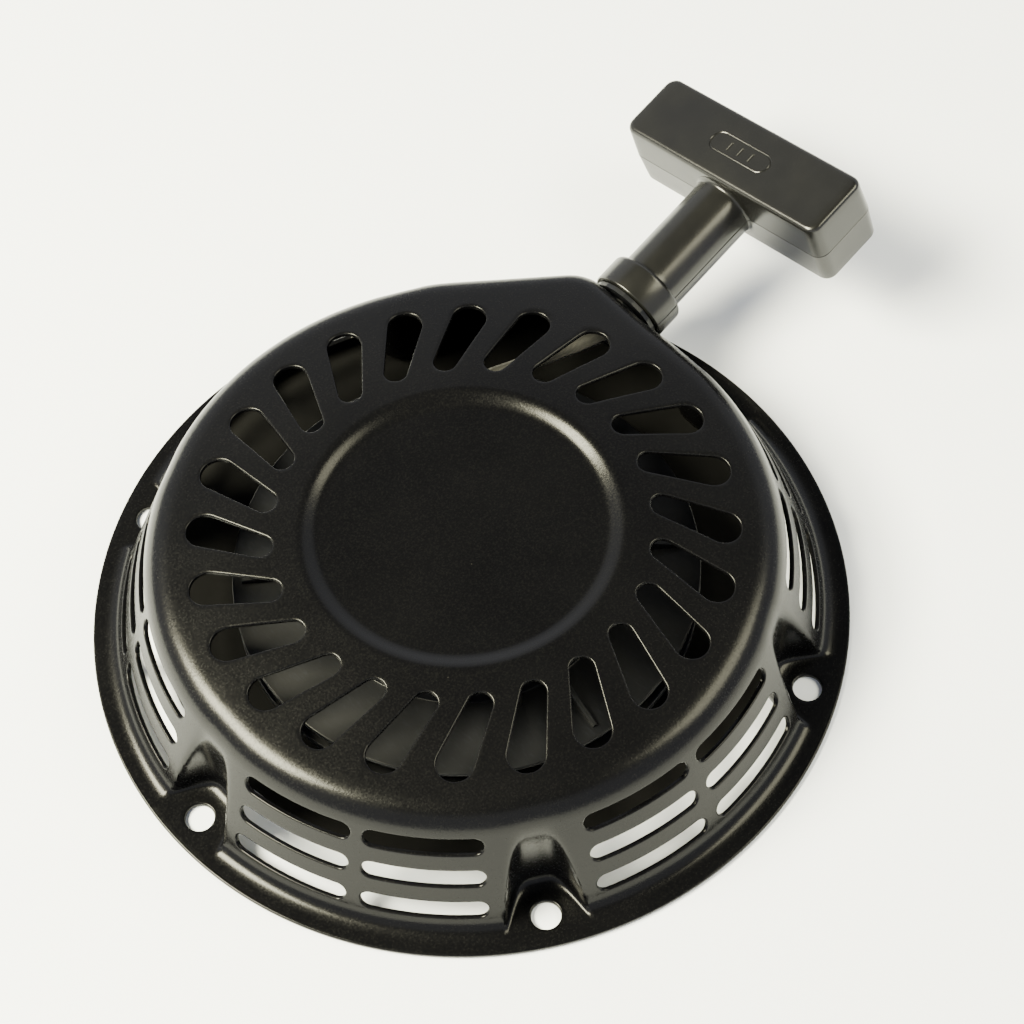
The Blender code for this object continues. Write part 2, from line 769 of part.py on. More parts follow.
def peg_centre(share):
    """The pawl's peg seen from the friction plate, which lags behind the reel."""
    swing = Matrix.Rotation(math.radians(pawl_travel * share), 2)
    lag = Matrix.Rotation(math.radians(-guide_travel * share), 2)
    return lag @ (Vector((0, pawl_pivot)) + swing @ Vector((peg_reach, -pawl_drop * peg_reach / pawl_reach)))


def cam_slot(mesh_data, turn):
    """Slot that the peg needs, offset to both sides of its path."""
    room = peg_radius + play
    path = [peg_centre(i / 6) for i in range(7)]
    left, right = [], []
    for i, point in enumerate(path):
        ahead = (path[min(i + 1, 6)] - path[max(i - 1, 0)]).normalized()
        side = Vector((-ahead.y, ahead.x)) * room
        left.append(point + side)
        right.append(point - side)
    first = math.degrees(math.atan2(*(left[0] - path[0]).yx))
    last = math.degrees(math.atan2(*(right[-1] - path[-1]).yx))
    outline = left + [Vector(polar(room, last + 180 - 45 * i, path[-1])) for i in range(1, 4)]
    outline += right[::-1] + [Vector(polar(room, first + 180 - 45 * i, path[0])) for i in range(1, 4)]
    spin = Matrix.Rotation(math.radians(turn), 2)
    prism([tuple(spin @ p) for p in outline], plate_z - 1, plate_z + plate_height + 1, mesh_data)


def build_pawl(number):
    turn = Matrix.Rotation(math.radians(180 * (number - 1)), 4, "Z")
    pivot = turn @ Vector((0, pawl_pivot, 0))
    place = Matrix.Translation(pivot * MM) @ turn
    tip = (pawl_reach, -pawl_drop)
    low, high = pawl_z + gap / 2, pawl_z + pawl_height
    outline = capsule((0, 0), pawl_root, tip, pawl_tip, 6)
    pawl = finish("ratchet_pawl_%d" % number, prism(outline, low, high), zinc_steel, place)
    peg = disc(peg_radius, plate_z - gap, low + 1, 10, None, (peg_reach, -pawl_drop * peg_reach / pawl_reach))
    combine(pawl, cutter("pawl_peg_%d" % number, peg, place), "UNION")
    eye = disc(pawl_pin + gap, low - 1, high + 1, 14)
    combine(pawl, cutter("pawl_eye_%d" % number, eye, place), "DIFFERENCE")
    pin = disc(pawl_pin, low, groove_z - gap, 14)
    finish("pawl_pin_%d" % number, pin, zinc_steel, place)

    wire = 0.4
    ring = pawl_pin + gap + wire
    start_z = high + gap + wire
    rise = pawl_spring_room - 2 * gap - 2 * wire
    points = [(10, -ring, start_z)]
    for i in range(19):
        points.append((*polar(ring, -90 - 450 * i / 18), start_z + rise * i / 18))
    points.append((ring * -1 - 1, -8, start_z + rise))
    world = [turn @ Vector(p) + pivot for p in points]
    tube("pawl_spring_%d" % number, world, wire, spring_steel, 1)


def build_winding():
    half = rope_diameter / 2 + 0.4
    low = groove_middle_z - half
    high = groove_middle_z + half
    inner = drum_radius + gap
    profile = [(inner, low), (winding_outer - 1.5, low), (winding_outer, low + 1.5),
               (winding_outer, high - 1.5), (winding_outer - 1.5, high), (inner, high)]
    finish("rope_winding", turned(profile, 40), grey_rope)
    size = 3.4
    centre = polar(drum_radius + 9, 200)
    middle = reel_floor_z - gap - size
    profile = [(0, middle - size)]
    for i in range(1, 5):
        turn = math.radians(-90 + 36 * i)
        profile.append((size * math.cos(turn), middle + size * math.sin(turn)))
    profile.append((0, middle + size))
    finish("reel_knot", turned(profile, 10, None, centre), grey_rope)


build_housing()
build_rope_guide()
knot_face = build_handle()
build_rope_lead(knot_face)
build_reel()
build_retainer()
build_recoil_spring()
build_post()
build_centre_stack()
for pawl_number in (1, 2):
    build_pawl(pawl_number)
build_winding()
bpy.context.view_layer.update()
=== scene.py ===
import json
import math
import bmesh
import bpy
import numpy as np
from mathutils import Matrix, Vector

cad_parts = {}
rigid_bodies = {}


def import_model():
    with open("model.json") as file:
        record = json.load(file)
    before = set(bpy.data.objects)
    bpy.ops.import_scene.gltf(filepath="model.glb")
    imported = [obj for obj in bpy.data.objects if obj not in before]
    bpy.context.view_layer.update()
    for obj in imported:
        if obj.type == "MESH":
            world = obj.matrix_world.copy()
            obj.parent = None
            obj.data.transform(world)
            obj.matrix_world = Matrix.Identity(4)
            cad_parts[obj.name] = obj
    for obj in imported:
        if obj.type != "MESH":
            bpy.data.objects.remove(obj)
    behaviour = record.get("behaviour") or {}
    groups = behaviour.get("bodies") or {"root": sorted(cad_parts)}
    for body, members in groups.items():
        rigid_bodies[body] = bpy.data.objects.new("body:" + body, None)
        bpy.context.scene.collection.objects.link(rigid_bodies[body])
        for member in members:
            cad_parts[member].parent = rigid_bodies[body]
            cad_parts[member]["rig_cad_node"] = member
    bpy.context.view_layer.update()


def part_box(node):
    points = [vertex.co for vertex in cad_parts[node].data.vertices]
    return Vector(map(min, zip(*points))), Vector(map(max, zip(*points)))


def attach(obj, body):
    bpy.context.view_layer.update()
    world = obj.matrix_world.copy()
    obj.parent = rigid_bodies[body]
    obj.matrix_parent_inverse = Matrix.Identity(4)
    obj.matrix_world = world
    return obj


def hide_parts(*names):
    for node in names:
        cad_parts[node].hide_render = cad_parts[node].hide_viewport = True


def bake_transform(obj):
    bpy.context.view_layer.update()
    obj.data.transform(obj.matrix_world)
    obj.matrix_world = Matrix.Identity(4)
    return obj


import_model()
mm = 0.001
print("frame loaded")


# meshes come from whole arrays of points, worked out in mm
def meshObject(name, points, faces, material, sharp=35):
    # points in metres, faces as one whole array of n rows of 4
    faces = np.asarray(faces, np.int32)
    mesh = bpy.data.meshes.new(name)
    mesh.vertices.add(len(points))
    mesh.vertices.foreach_set("co", np.asarray(points, np.float32).ravel())
    mesh.loops.add(faces.size)
    mesh.loops.foreach_set("vertex_index", faces.ravel())
    mesh.polygons.add(len(faces))
    mesh.polygons.foreach_set("loop_start", np.arange(0, faces.size, faces.shape[1], dtype=np.int32))
    mesh.update(calc_edges=True)
    obj = bpy.data.objects.new(name, mesh)
    bpy.context.scene.collection.objects.link(obj)
    weld(obj, 0.002 * mm, sharp)
    mesh.materials.append(material)
    return obj


def weld(obj, distance, sharp):
    # merges doubled points, drops faces that collapse, and turns every face outwards
    work = bmesh.new()
    work.from_mesh(obj.data)
    bmesh.ops.remove_doubles(work, verts=work.verts, dist=distance)
    bmesh.ops.dissolve_degenerate(work, edges=work.edges, dist=distance / 4)
    bmesh.ops.recalc_face_normals(work, faces=work.faces)
    work.to_mesh(obj.data)
    work.free()
    obj.data.shade_smooth()
    obj.data.set_sharp_from_angle(angle=math.radians(sharp))


def gridFaces(rows, cols, wrap=False, start=0):
    # quads of a rows by cols grid of points; wrap joins the last column to the first
    r = np.arange(rows - 1)[:, None]
    c = np.arange(cols if wrap else cols - 1)[None, :]
    d = (c + 1) % cols
    quad = np.stack([r * cols + c, r * cols + d, (r + 1) * cols + d, (r + 1) * cols + c], -1)
    return quad.reshape(-1, 4) + start


class Skin:
    # gathers grids of points that share their edges, to be welded into one closed body
    def __init__(self):
        self.points, self.faces, self.count = [], [], 0

    def add(self, grid, wrap=False):
        rows, cols = grid.shape[:2]
        self.points.append(grid.reshape(-1, 3))
        self.faces.append(gridFaces(rows, cols, wrap, self.count))
        self.count += rows * cols

    def build(self, name, material, distance, sharp):
        obj = meshObject(name, np.concatenate(self.points) * mm, np.concatenate(self.faces), material)
        weld(obj, distance * mm, sharp)
        return obj


# Pressed steel housing: radii and heights in mm, angles in degrees
housing = {
    "sheet": 1.5, "flangeWidth": 7.6, "footRadius": 107.4, "wallSlope": 0.398,
    "padHeight": 44.0, "padRecess": 2.1, "ringRadius": 47.5, "ringWidth": 5.2, "domeRadius": 612.0,
    "crownFillet": 6.0, "footFillet": 4.0,
    "boltAngle": -3.9, "boltEdge": 9.6, "boltHole": 4.3, "dimpleRadius": 11.4, "dimplePower": 3.6,
    "topSlots": 24, "topAngle": 12.9, "topSkew": 6.5, "topOuterEnd": 5.3, "topInnerEnd": 3.6,
    "topMargin": 16.0, "topInset": 11.2,
    "cellLean": 8.0,    # the mesh cells round the top slots lean with them by this many degrees
    "sideHalf": 3.0, "sidePitch": 12.0, "sideTop": 31.2, "sideStart": 2.8, "sideEnd": 19.8, "sideRows": 3,
    "faceAngle": -6.0, "faceFoot": 98.6, "faceSlope": math.tan(math.radians(11.3)),
    "cheekAngle": 47.8, "cheekFoot": 102.8, "cheekSlope": 0.25, "lobeCorner": 13.0, "lobeBlend": 1.5,
    "pocketGap": 0.4, "pocketRise": 14.0, "pocketDraft": 0.03, "pocketBlend": 1.4,
    "flangeRim": 0.5, "footMargin": 1.3, "hubHole": 0.6, "cellGap": 3.2,
    "crownHeight": 41.07,   # where the wall, carried on up, would meet the dome
    "rollover": 0.45,   # radius that punching and paint leave on a slot's outer rim
    "burr": 0.2,        # and on its inner rim
}
h = housing
flangeRadius = h["footRadius"] + h["flangeWidth"]
boltCircle = flangeRadius - h["boltEdge"]


def cosd(a):
    return np.cos(np.radians(a))


def sind(a):
    return np.sin(np.radians(a))


def softMax(a, b, width):
    # the larger of the two, with the corner between them rounded over about the width
    return 0.5 * (a + b + np.sqrt((a - b) ** 2 + width ** 2))


def softMin(a, b, width):
    return -softMax(-a, -b, width)


def domeHeight(r):
    # shallow parabola through the top of the ring
    return h["padHeight"] + h["padRecess"] + (h["ringRadius"] ** 2 - r ** 2) / (2 * h["domeRadius"])


def topHeight(r):
    # flat pad, then a smooth step up onto the dome
    low, high = h["ringRadius"] - h["ringWidth"] - 1.0, h["ringRadius"] + 1.2
    t = np.clip((r - low) / (high - low), 0, 1)
    step = t * t * t * (t * (t * 6 - 15) + 10)
    return h["padHeight"] + (domeHeight(r) - h["padHeight"]) * step


def lobeRadius(deg, z):
    # two flat faces joined by a rounded corner; past each face the distance falls as a cosine
    deg = (deg + 180) % 360 - 180
    face = h["faceFoot"] - (z - h["sheet"]) * h["faceSlope"]
    cheek = h["cheekFoot"] - (z - h["sheet"]) * h["cheekSlope"]
    toFace, toCheek = cosd(deg - h["faceAngle"]), cosd(deg - h["cheekAngle"])
    fx, fy, cx, cy = (turn(h[key]) for key in ("faceAngle", "cheekAngle") for turn in (cosd, sind))
    det = fx * cy - fy * cx
    a, b = face - h["lobeCorner"], cheek - h["lobeCorner"]
    mx, my = (a * cy - b * fy) / det, (b * fx - a * cx) / det
    rx, ry = cosd(deg), sind(deg)
    across = rx * my - ry * mx
    reach = rx * mx + ry * my + np.sqrt(np.maximum(h["lobeCorner"] ** 2 - across ** 2, 0))
    turn = np.degrees(np.arctan2(ry * reach - my, rx * reach - mx))
    onArc = (np.abs(across) < h["lobeCorner"]) & (turn > h["faceAngle"]) & (turn < h["cheekAngle"])
    flat = np.minimum(face / np.maximum(toFace, 0.2), cheek / np.maximum(toCheek, 0.2))
    inside = np.where(onArc, reach, flat)
    inside = np.where(deg < h["faceAngle"], face * np.maximum(toFace, 0), inside)
    return np.where(deg > h["cheekAngle"], cheek * np.maximum(toCheek, 0), inside)


def wallRadius(deg, z):
    # cone and rope outlet joined softly, with an arch-shaped pocket pressed in at each bolt
    cone = h["footRadius"] - (z - h["sheet"]) * h["wallSlope"]
    wall = softMax(cone, lobeRadius(deg, z), h["lobeBlend"])
    off = (deg - h["boltAngle"] + 30) % 60 - 30
    side = np.abs(boltCircle * sind(off)) / (h["dimpleRadius"] + h["pocketGap"])
    arch = h["pocketRise"] * side ** h["dimplePower"]
    pocket = boltCircle - h["dimpleRadius"] + arch + h["pocketDraft"] * z
    return softMin(wall, np.minimum(pocket, 140), h["pocketBlend"])


def crownCorner(deg):
    # where the wall, carried on up, would meet the dome
    r = wallRadius(deg, h["crownHeight"])
    for _ in range(4):
        r = wallRadius(deg, domeHeight(r))
    return r


wallTopZ = h["crownHeight"] - h["crownFillet"]
footZ = h["sheet"] + h["footFillet"]


def footEnd(deg):
    # where the foot's roll meets the flange: the wall's foot plus the fillet, up to 1.2 mm more in a pocket
    r = wallRadius(deg, h["sheet"])
    wider = 1.2 * np.clip((h["footRadius"] - r) / 9, 0, 1)
    return np.minimum(r + h["footFillet"] + wider, flangeRadius - h["footMargin"])


def bezier(p, q, s, t):
    # curve from p to s that heads for q at both ends: p (1 - t)^2 + 2 q t (1 - t) + s t^2
    return (1 - t) ** 2 * p + 2 * t * (1 - t) * q + t * t * s


def bodySkin(deg, v):
    # v 0 to 1 rolls over the crown, 1 to 2 runs down the wall, 2 to 3 rolls out onto the flange
    corner = crownCorner(deg)
    top = corner - h["crownFillet"]
    t = np.clip(v, 0, 1)
    rCrown = bezier(top, corner, wallRadius(deg, wallTopZ), t)
    zCrown = bezier(domeHeight(top), domeHeight(corner), wallTopZ, t)
    z = wallTopZ + (footZ - wallTopZ) * np.clip(v - 1, 0, 1)
    t = np.clip(v - 2, 0, 1)
    rFoot = bezier(wallRadius(deg, footZ), wallRadius(deg, h["sheet"]), footEnd(deg), t)
    zFoot = bezier(footZ, h["sheet"], h["sheet"], t)
    r = np.where(v < 1, rCrown, np.where(v < 2, wallRadius(deg, z), rFoot))
    z = np.where(v < 1, zCrown, np.where(v < 2, z, zFoot))
    return np.stack([r * cosd(deg), r * sind(deg), z], -1)


def topSkin(x, y):
    # the top face as a height over the plan
    return np.stack([x, y, topHeight(np.hypot(x, y))], -1)


def flatSkin(x, y):
    return np.stack([x, y, np.full_like(x, h["sheet"])], -1)


def sunk(surface, a, b, depth, stepA, stepB):
    # the surface moved inwards along its own normal, found from central differences
    point = surface(a, b)
    alongA = surface(a + stepA, b) - surface(a - stepA, b)
    alongB = surface(a, b + stepB) - surface(a, b - stepB)
    normal = np.cross(alongA, alongB)
    normal /= np.linalg.norm(normal, axis=-1, keepdims=True)
    if surface is bodySkin:
        outward = point * [1, 1, 0] / np.linalg.norm(point[..., :2], axis=-1, keepdims=True) + [0, 0, 1]
        normal *= np.sign(np.sum(normal * outward, -1, keepdims=True))
    return point - normal * np.asarray(depth)[..., None]


def sunkBody(deg, v, depth):
    # at a seam between two stretches the difference is taken inside the stretch it belongs to
    inside = np.clip(v, 0.004, 2.996)
    near = np.abs(inside - np.round(inside)) < 0.004
    shifted = np.where(near, np.round(inside) + 0.004, inside)
    point = bodySkin(deg, v)
    normalPoint = sunk(bodySkin, deg, shifted, np.ones_like(v), 0.02, 0.003)
    normal = bodySkin(deg, shifted) - normalPoint
    return point - normal * np.asarray(depth)[..., None]


def slotOutline(start, end, startRadius, endRadius, count=1440):
    # two circles and their outer tangents, as points, outward directions and the distance run
    start, end = np.array(start, float), np.array(end, float)
    length = max(float(np.hypot(*(end - start))), 1e-6)
    heading = math.degrees(math.atan2(*(end - start)[::-1])) if length > 1e-5 else 0.0
    spread = 90 - math.degrees(math.asin(np.clip((startRadius - endRadius) / length, -1, 1)))
    spread = spread if length > 1e-5 else 90
    turns = np.concatenate([np.linspace(-spread, spread, 361), np.linspace(spread, 360 - spread, 361)])
    turns += heading
    around = np.stack([cosd(turns), sind(turns)], -1)
    corners = np.concatenate([end + endRadius * around[:361], start + startRadius * around[361:]])
    corners, around = (np.concatenate([a, a[:1]]) for a in (corners, around))
    run = np.concatenate([[0], np.cumsum(np.hypot(*np.diff(corners, axis=0).T))])
    run += np.arange(len(run)) * 1e-9
    at = np.linspace(0, run[-1], count + 1)[:-1]
    both = np.concatenate([corners, around], 1)
    both = np.stack([np.interp(at, run, both[:, k]) for k in range(4)], -1)
    return both[:, :2], both[:, 2:] / np.linalg.norm(both[:, 2:], axis=1, keepdims=True), at, run[-1]


def slotRings(p, q, start, end, startRadius, endRadius):
    # rings from a cell's border to the slot's rim, round the rolled edge, through the sheet and back;
    # each border point goes to a rim point between its nearest one and an even share of the rim
    rim, away, at, total = slotOutline(start, end, startRadius, endRadius)
    border = np.stack([p, q], -1)
    nearest = at[np.argmin(np.sum((border[:, None] - rim) ** 2, -1), 1)]
    nearest = np.unwrap(nearest, period=total)
    step = np.sign(nearest[-1] - nearest[0]) * total / len(p) * np.arange(len(p))
    goal = 0.5 * nearest + 0.5 * (step + np.mean(nearest - step))
    index = np.round(np.mod(goal, total) / total * len(at)).astype(int) % len(at)
    rim, away = rim[index], away[index]
    roll, burr, sheet = h["rollover"], h["burr"], h["sheet"]
    rings, depths = [], []
    for share in (0, 0.3, 0.6, 0.85, 1):
        rings.append(border + (rim + away * roll - border) * share)
        depths.append(0.0)
    for turn in (30, 60, 90):
        rings.append(rim + away * roll * (1 - sind(turn)))
        depths.append(roll * (1 - cosd(turn)))
    rings += [rim, rim + away * burr]
    depths += [sheet - burr, sheet]
    for share in (0.4, 0.75, 1):
        rings.append(rim + away * burr + (border - rim - away * burr) * share)
        depths.append(sheet)
    rings = np.stack(rings)
    return rings[..., 0], rings[..., 1], np.repeat(np.array(depths)[:, None], len(p), 1)


def angleLattice():
    # columns round the housing, closer together across each bolt pocket
    fine = np.linspace(0, 7.5, 16, endpoint=False)
    coarse = np.linspace(7.5, 52.5, 40, endpoint=False)
    sector = np.concatenate([fine, coarse, 60 - fine[::-1] - 7.5 / 16])
    return (h["boltAngle"] + 60 * np.arange(6)[:, None] + sector).ravel(), 72


def boundaryLoop(left, right, rows):
    # lattice indices round a cell: along its top, down, back along its bottom, and up
    cols = np.arange(left, right + 1)
    down = np.arange(1, rows)
    i = np.concatenate([cols, np.full(rows - 1, right), cols[::-1], np.full(rows - 1, left)])
    j = np.concatenate([np.zeros(len(cols)), down, np.full(len(cols), rows), down[::-1]])
    return i, j


def buildHousing(material):
    angles, perSector = angleLattice()
    columns = len(angles)

    def angleAt(i):
        return angles[np.mod(i, columns)] + 360 * np.floor_divide(i, columns)

    skin = Skin()
    sheet = h["sheet"]

    # pad and its ring, inside the top slots
    cellIn, hubHole = h["ringRadius"] + h["cellGap"], h["hubHole"]
    ringSteps = np.linspace(h["ringRadius"] - h["ringWidth"] - 1.2, h["ringRadius"] + 1.4, 15)
    outside = np.concatenate([[hubHole, 14, 30], ringSteps, [cellIn]])
    inside = np.array([hubHole, 20, 38, 41, 43, 45, 47, 49, cellIn])
    for depth, radii in ((0, outside), (sheet, inside)):
        r, a = np.meshgrid(radii, angles + h["cellLean"], indexing="ij")
        skin.add(sunk(topSkin, r * cosd(a), r * sind(a), np.full_like(r, depth), 0.01, 0.01), wrap=True)
        level = np.full(columns, h["padHeight"] - depth)
        hub = np.stack([hubHole * cosd(a[0]), hubHole * sind(a[0]), level], -1)
        skin.add(np.stack([hub, hub * [0, 0, 1]]), wrap=True)

    # one cell round each top slot; a cell's sides lie on the lattice
    crownEdge = crownCorner(angles) - h["crownFillet"]
    rows = 12
    meanCrown = float(np.median(crownEdge)) + h["crownFillet"]
    borders = np.array([np.argmin(np.abs(angles[:perSector] - h["boltAngle"] - want))
                        for want in (9.3, 24.3, 39.3, 54.3)])
    borders = np.concatenate([borders + perSector * k for k in range(6)] + [[borders[0] + columns]])
    for left, right in zip(borders[:-1], borders[1:]):
        middle = 0.5 * (angleAt(left) + angleAt(right))
        turn = 360 / h["topSlots"]
        slotAngle = h["topAngle"] + turn * round((middle - h["topAngle"]) / turn)
        outer = (meanCrown - h["topMargin"]) * np.array([cosd(slotAngle), sind(slotAngle)])
        inner = (h["ringRadius"] + h["topInset"]) * np.array([cosd(slotAngle + h["topSkew"]),
                                                             sind(slotAngle + h["topSkew"])])
        i, j = boundaryLoop(left, right, rows)
        deg = angleAt(i) + h["cellLean"] * np.interp(j / rows, [0, 0.28, 0.77, 1], [0, 0.15, 0.8, 1])
        r = crownEdge[np.mod(i, columns)] + (cellIn - crownEdge[np.mod(i, columns)]) * j / rows
        x, y, depth = slotRings(r * cosd(deg), r * sind(deg), outer, inner,
                                h["topOuterEnd"], h["topInnerEnd"])
        skin.add(sunk(topSkin, x, y, depth, 0.01, 0.01), wrap=True)

    # crown and foot rolls, all the way round
    for depth, crownSteps, footSteps in ((0, 9, 7), (sheet, 5, 4)):
        for low, count in ((0, crownSteps), (2, footSteps)):
            v, a = np.meshgrid(np.linspace(low, low + 1, count), angles, indexing="ij")
            skin.add(sunkBody(a, v, np.full_like(v, depth)), wrap=True)

    # wall: slotted cells either side of each sector's middle, and plain columns elsewhere
    lean = math.hypot(1, h["wallSlope"])
    zRows = [h["sideTop"] - k * h["sidePitch"] / lean for k in range(h["sideRows"])]
    edges = [wallTopZ] + [0.5 * (a + b) for a, b in zip(zRows, zRows[1:])] + [footZ]

    def vOf(z):
        return 1 + (z - wallTopZ) / (footZ - wallTopZ)

    for sector in range(6):
        base = sector * perSector
        middle = h["boltAngle"] + 60 * sector + 30
        slotted = not h["faceAngle"] < middle < h["cheekAngle"]
        plain = [(base, base + perSector)]
        if slotted:
            plain = [(base, base + 16), (base + 56, base + 72)]
            for left, right, side in ((base + 16, base + 36, -1), (base + 36, base + 56, 1)):
                for k, zc in enumerate(zRows):
                    i, j = boundaryLoop(left, right, rows)
                    z = edges[k] + (edges[k + 1] - edges[k]) * j / rows
                    radius = h["footRadius"] - (zc - sheet) * h["wallSlope"]
                    s = np.radians(angleAt(i) - middle) * radius * side
                    start, end = (math.radians(h[key]) * radius for key in ("sideStart", "sideEnd"))
                    run, drop, depth = slotRings(s, (z - zc) * lean, (start, 0), (end, 0),
                                                 h["sideHalf"], h["sideHalf"])
                    deg = middle + side * np.degrees(run / radius)
                    skin.add(sunkBody(deg, np.clip(vOf(zc + drop / lean), 1, 2), depth), wrap=True)
        for left, right in plain:
            for k in range(h["sideRows"]):
                z, i = np.meshgrid(np.linspace(edges[k], edges[k + 1], rows + 1), np.arange(left, right + 1),
                                   indexing="ij")
                for depth in (0, sheet):
                    skin.add(sunkBody(angleAt(i), vOf(z), np.full_like(z, depth)))

    # flange: a cell round each bolt hole, plain columns elsewhere, then the rounded outer edge
    rim = flangeRadius - h["flangeRim"]
    holeCols = 13
    for sector in range(6):
        base = sector * perSector
        centre = boltCircle * np.array([cosd(angles[base]), sind(angles[base])])
        i, j = boundaryLoop(base - holeCols + columns, base + holeCols + columns, 8)
        deg = angleAt(i)
        foot = footEnd(deg)
        r = foot + (rim - foot) * j / 8
        x, y, depth = slotRings(r * cosd(deg), r * sind(deg), centre, centre, h["boltHole"], h["boltHole"])
        skin.add(sunk(flatSkin, x, y, depth, 0.01, 0.01), wrap=True)
        i = np.arange(base + holeCols, base + perSector - holeCols + 1)
        share, i = np.meshgrid(np.linspace(0, 1, 9), i, indexing="ij")
        deg = angleAt(i)
        foot = footEnd(deg)
        r = foot + (rim - foot) * share
        for depth in (0, sheet):
            skin.add(flatSkin(r * cosd(deg), r * sind(deg)) - [0, 0, depth])
    turn = np.linspace(90, -90, 9)
    r, a = np.meshgrid(rim + h["flangeRim"] * cosd(turn), angles, indexing="ij")
    reach = np.abs(sind(turn)) * h["flangeRim"] + sheet / 2 - h["flangeRim"]
    z = sheet / 2 + reach * np.sign(np.round(sind(turn), 3))
    z = np.repeat(z[:, None], columns, 1)
    skin.add(np.stack([r * cosd(a), r * sind(a), z], -1), wrap=True)
    return skin.build("housing_shell", material, 0.02, 40)


def carve(obj, operation, *tools):
    # cuts each tool from obj, or joins it on, and removes the tool
    for tool in tools:
        change = obj.modifiers.new("carve", "BOOLEAN")
        change.operation, change.object, change.solver = operation, tool, "EXACT"
        seen = obj.evaluated_get(bpy.context.evaluated_depsgraph_get())
        shaped = bpy.data.meshes.new_from_object(seen)
        obj.modifiers.clear()
        obj.data = shaped
        bpy.data.objects.remove(tool)
    return obj


def pullPlace(faceDistance=97.29, side=27.1, height=24.9, pitch=11.3, twist=10.6):   # mm and degrees
    # frame of the pull line: x out along the rope, y along the bar, z up, origin on the outlet's face
    spin = Matrix.Rotation(math.radians(-pitch), 4, "Y") @ Matrix.Rotation(math.radians(-twist), 4, "X")
    return np.array(Matrix.Translation((faceDistance, side, height)) @ spin)


pullFrame = pullPlace()


def onPullLine(points):
    return points @ pullFrame[:3, :3].T + pullFrame[:3, 3]


def turnedSkin(profile, turns, dip=None):
    # profile (x, r) turned about the pull line; dip(turn) takes a little off the radius
    along, radius = np.array(profile, float).T
    x, turn = np.meshgrid(along, turns, indexing="ij")
    r = np.maximum(radius[:, None] - (dip(turn) if dip else 0), 0)
    r = np.where(radius[:, None] < 0.01, 0, r)
    return np.stack([x, r * cosd(turn), r * sind(turn)], -1)


def arc(x, r, size, first, last, steps):
    # quarter-round stations of a profile, from one angle to another about (x, r)
    turn = np.linspace(first, last, steps)
    return [(x + size * a, r + size * b) for a, b in zip(cosd(turn), sind(turn))]


# Moulded pull handle, with x along the pull line
handle = {
    "barAt": 62.5, "barLength": 83.0, "barDepth": 25.0, "barHeight": 26.8, "corner": 4.0, "draft": 0.5,
    "topEdge": 1.6,
    "neck": 10.7, "neckBlend": 1.3, "collar": 13.2, "collarFrom": 3.4, "collarLength": 10.5,
    "shoulder": 1.7, "step": 0.5, "endEdge": 0.6, "bore": 2.9,
    "pocket": (30.0, 17.0), "pocketCorner": 3.0, "pocketDepth": 14.4,
    "seamDepth": 0.16, "seamWidth": 0.34,
    "markLength": 24.0, "markHeight": 7.0, "markLine": 0.42, "markDepth": 0.3,
}


def boxRing(halfX, halfY, corner, steps=8):
    # rounded rectangle, one arc at each corner, and its straight runs divided evenly
    turn = np.linspace(0, 90, steps + 1)
    arcs = [np.stack([sx * (halfX - corner) + corner * cosd(turn + 90 * n),
                      sy * (halfY - corner) + corner * sind(turn + 90 * n)], -1)
            for n, (sx, sy) in enumerate(((1, 1), (-1, 1), (-1, -1), (1, -1)))]
    ring = []
    for n, one in enumerate(arcs):
        other = arcs[(n + 1) % 4][0]
        share = np.linspace(0, 1, (13, 41)[n % 2])[1:-1, None]
        ring += [one, one[-1] + (other - one[-1]) * share]
    return np.concatenate(ring)


def buildBar(material):
    # outline rings climb the drafted side, dip at the mould seam and roll over each edge
    halfZ, edge, seam = handle["barHeight"] / 2, handle["topEdge"], handle["seamWidth"] / 2
    roll = np.linspace(0, 90, 9)[1:]
    climb = np.concatenate([np.linspace(seam, halfZ - edge, 5), halfZ - edge + edge * sind(roll)])
    inset = climb / halfZ * handle["draft"]
    inset[5:] += edge * (1 - cosd(roll))
    level = np.concatenate([-climb[::-1], [0], climb])
    inset = np.concatenate([inset[::-1], [handle["seamDepth"]], inset])
    rings = np.stack([boxRing(handle["barDepth"] / 2 - a, handle["barLength"] / 2 - a,
                              max(handle["corner"] - 0.6 * a, 1)) for a in inset])
    bar = np.concatenate([rings, np.repeat(level[:, None, None], rings.shape[1], 1)], -1)
    skin = Skin()
    skin.add(onPullLine(bar + [handle["barAt"], 0, 0]), wrap=True)
    reach = 1 - handle["barDepth"] / handle["barLength"]
    for cap in (bar[0], bar[-1]):
        spine = cap * [0, reach, 1]
        fill = spine + (cap - spine) * np.linspace(1, 0, 6)[:, None, None]
        skin.add(onPullLine(fill + [handle["barAt"], 0, 0]), wrap=True)
    return skin.build("handle_body", material, 0.01, 35)


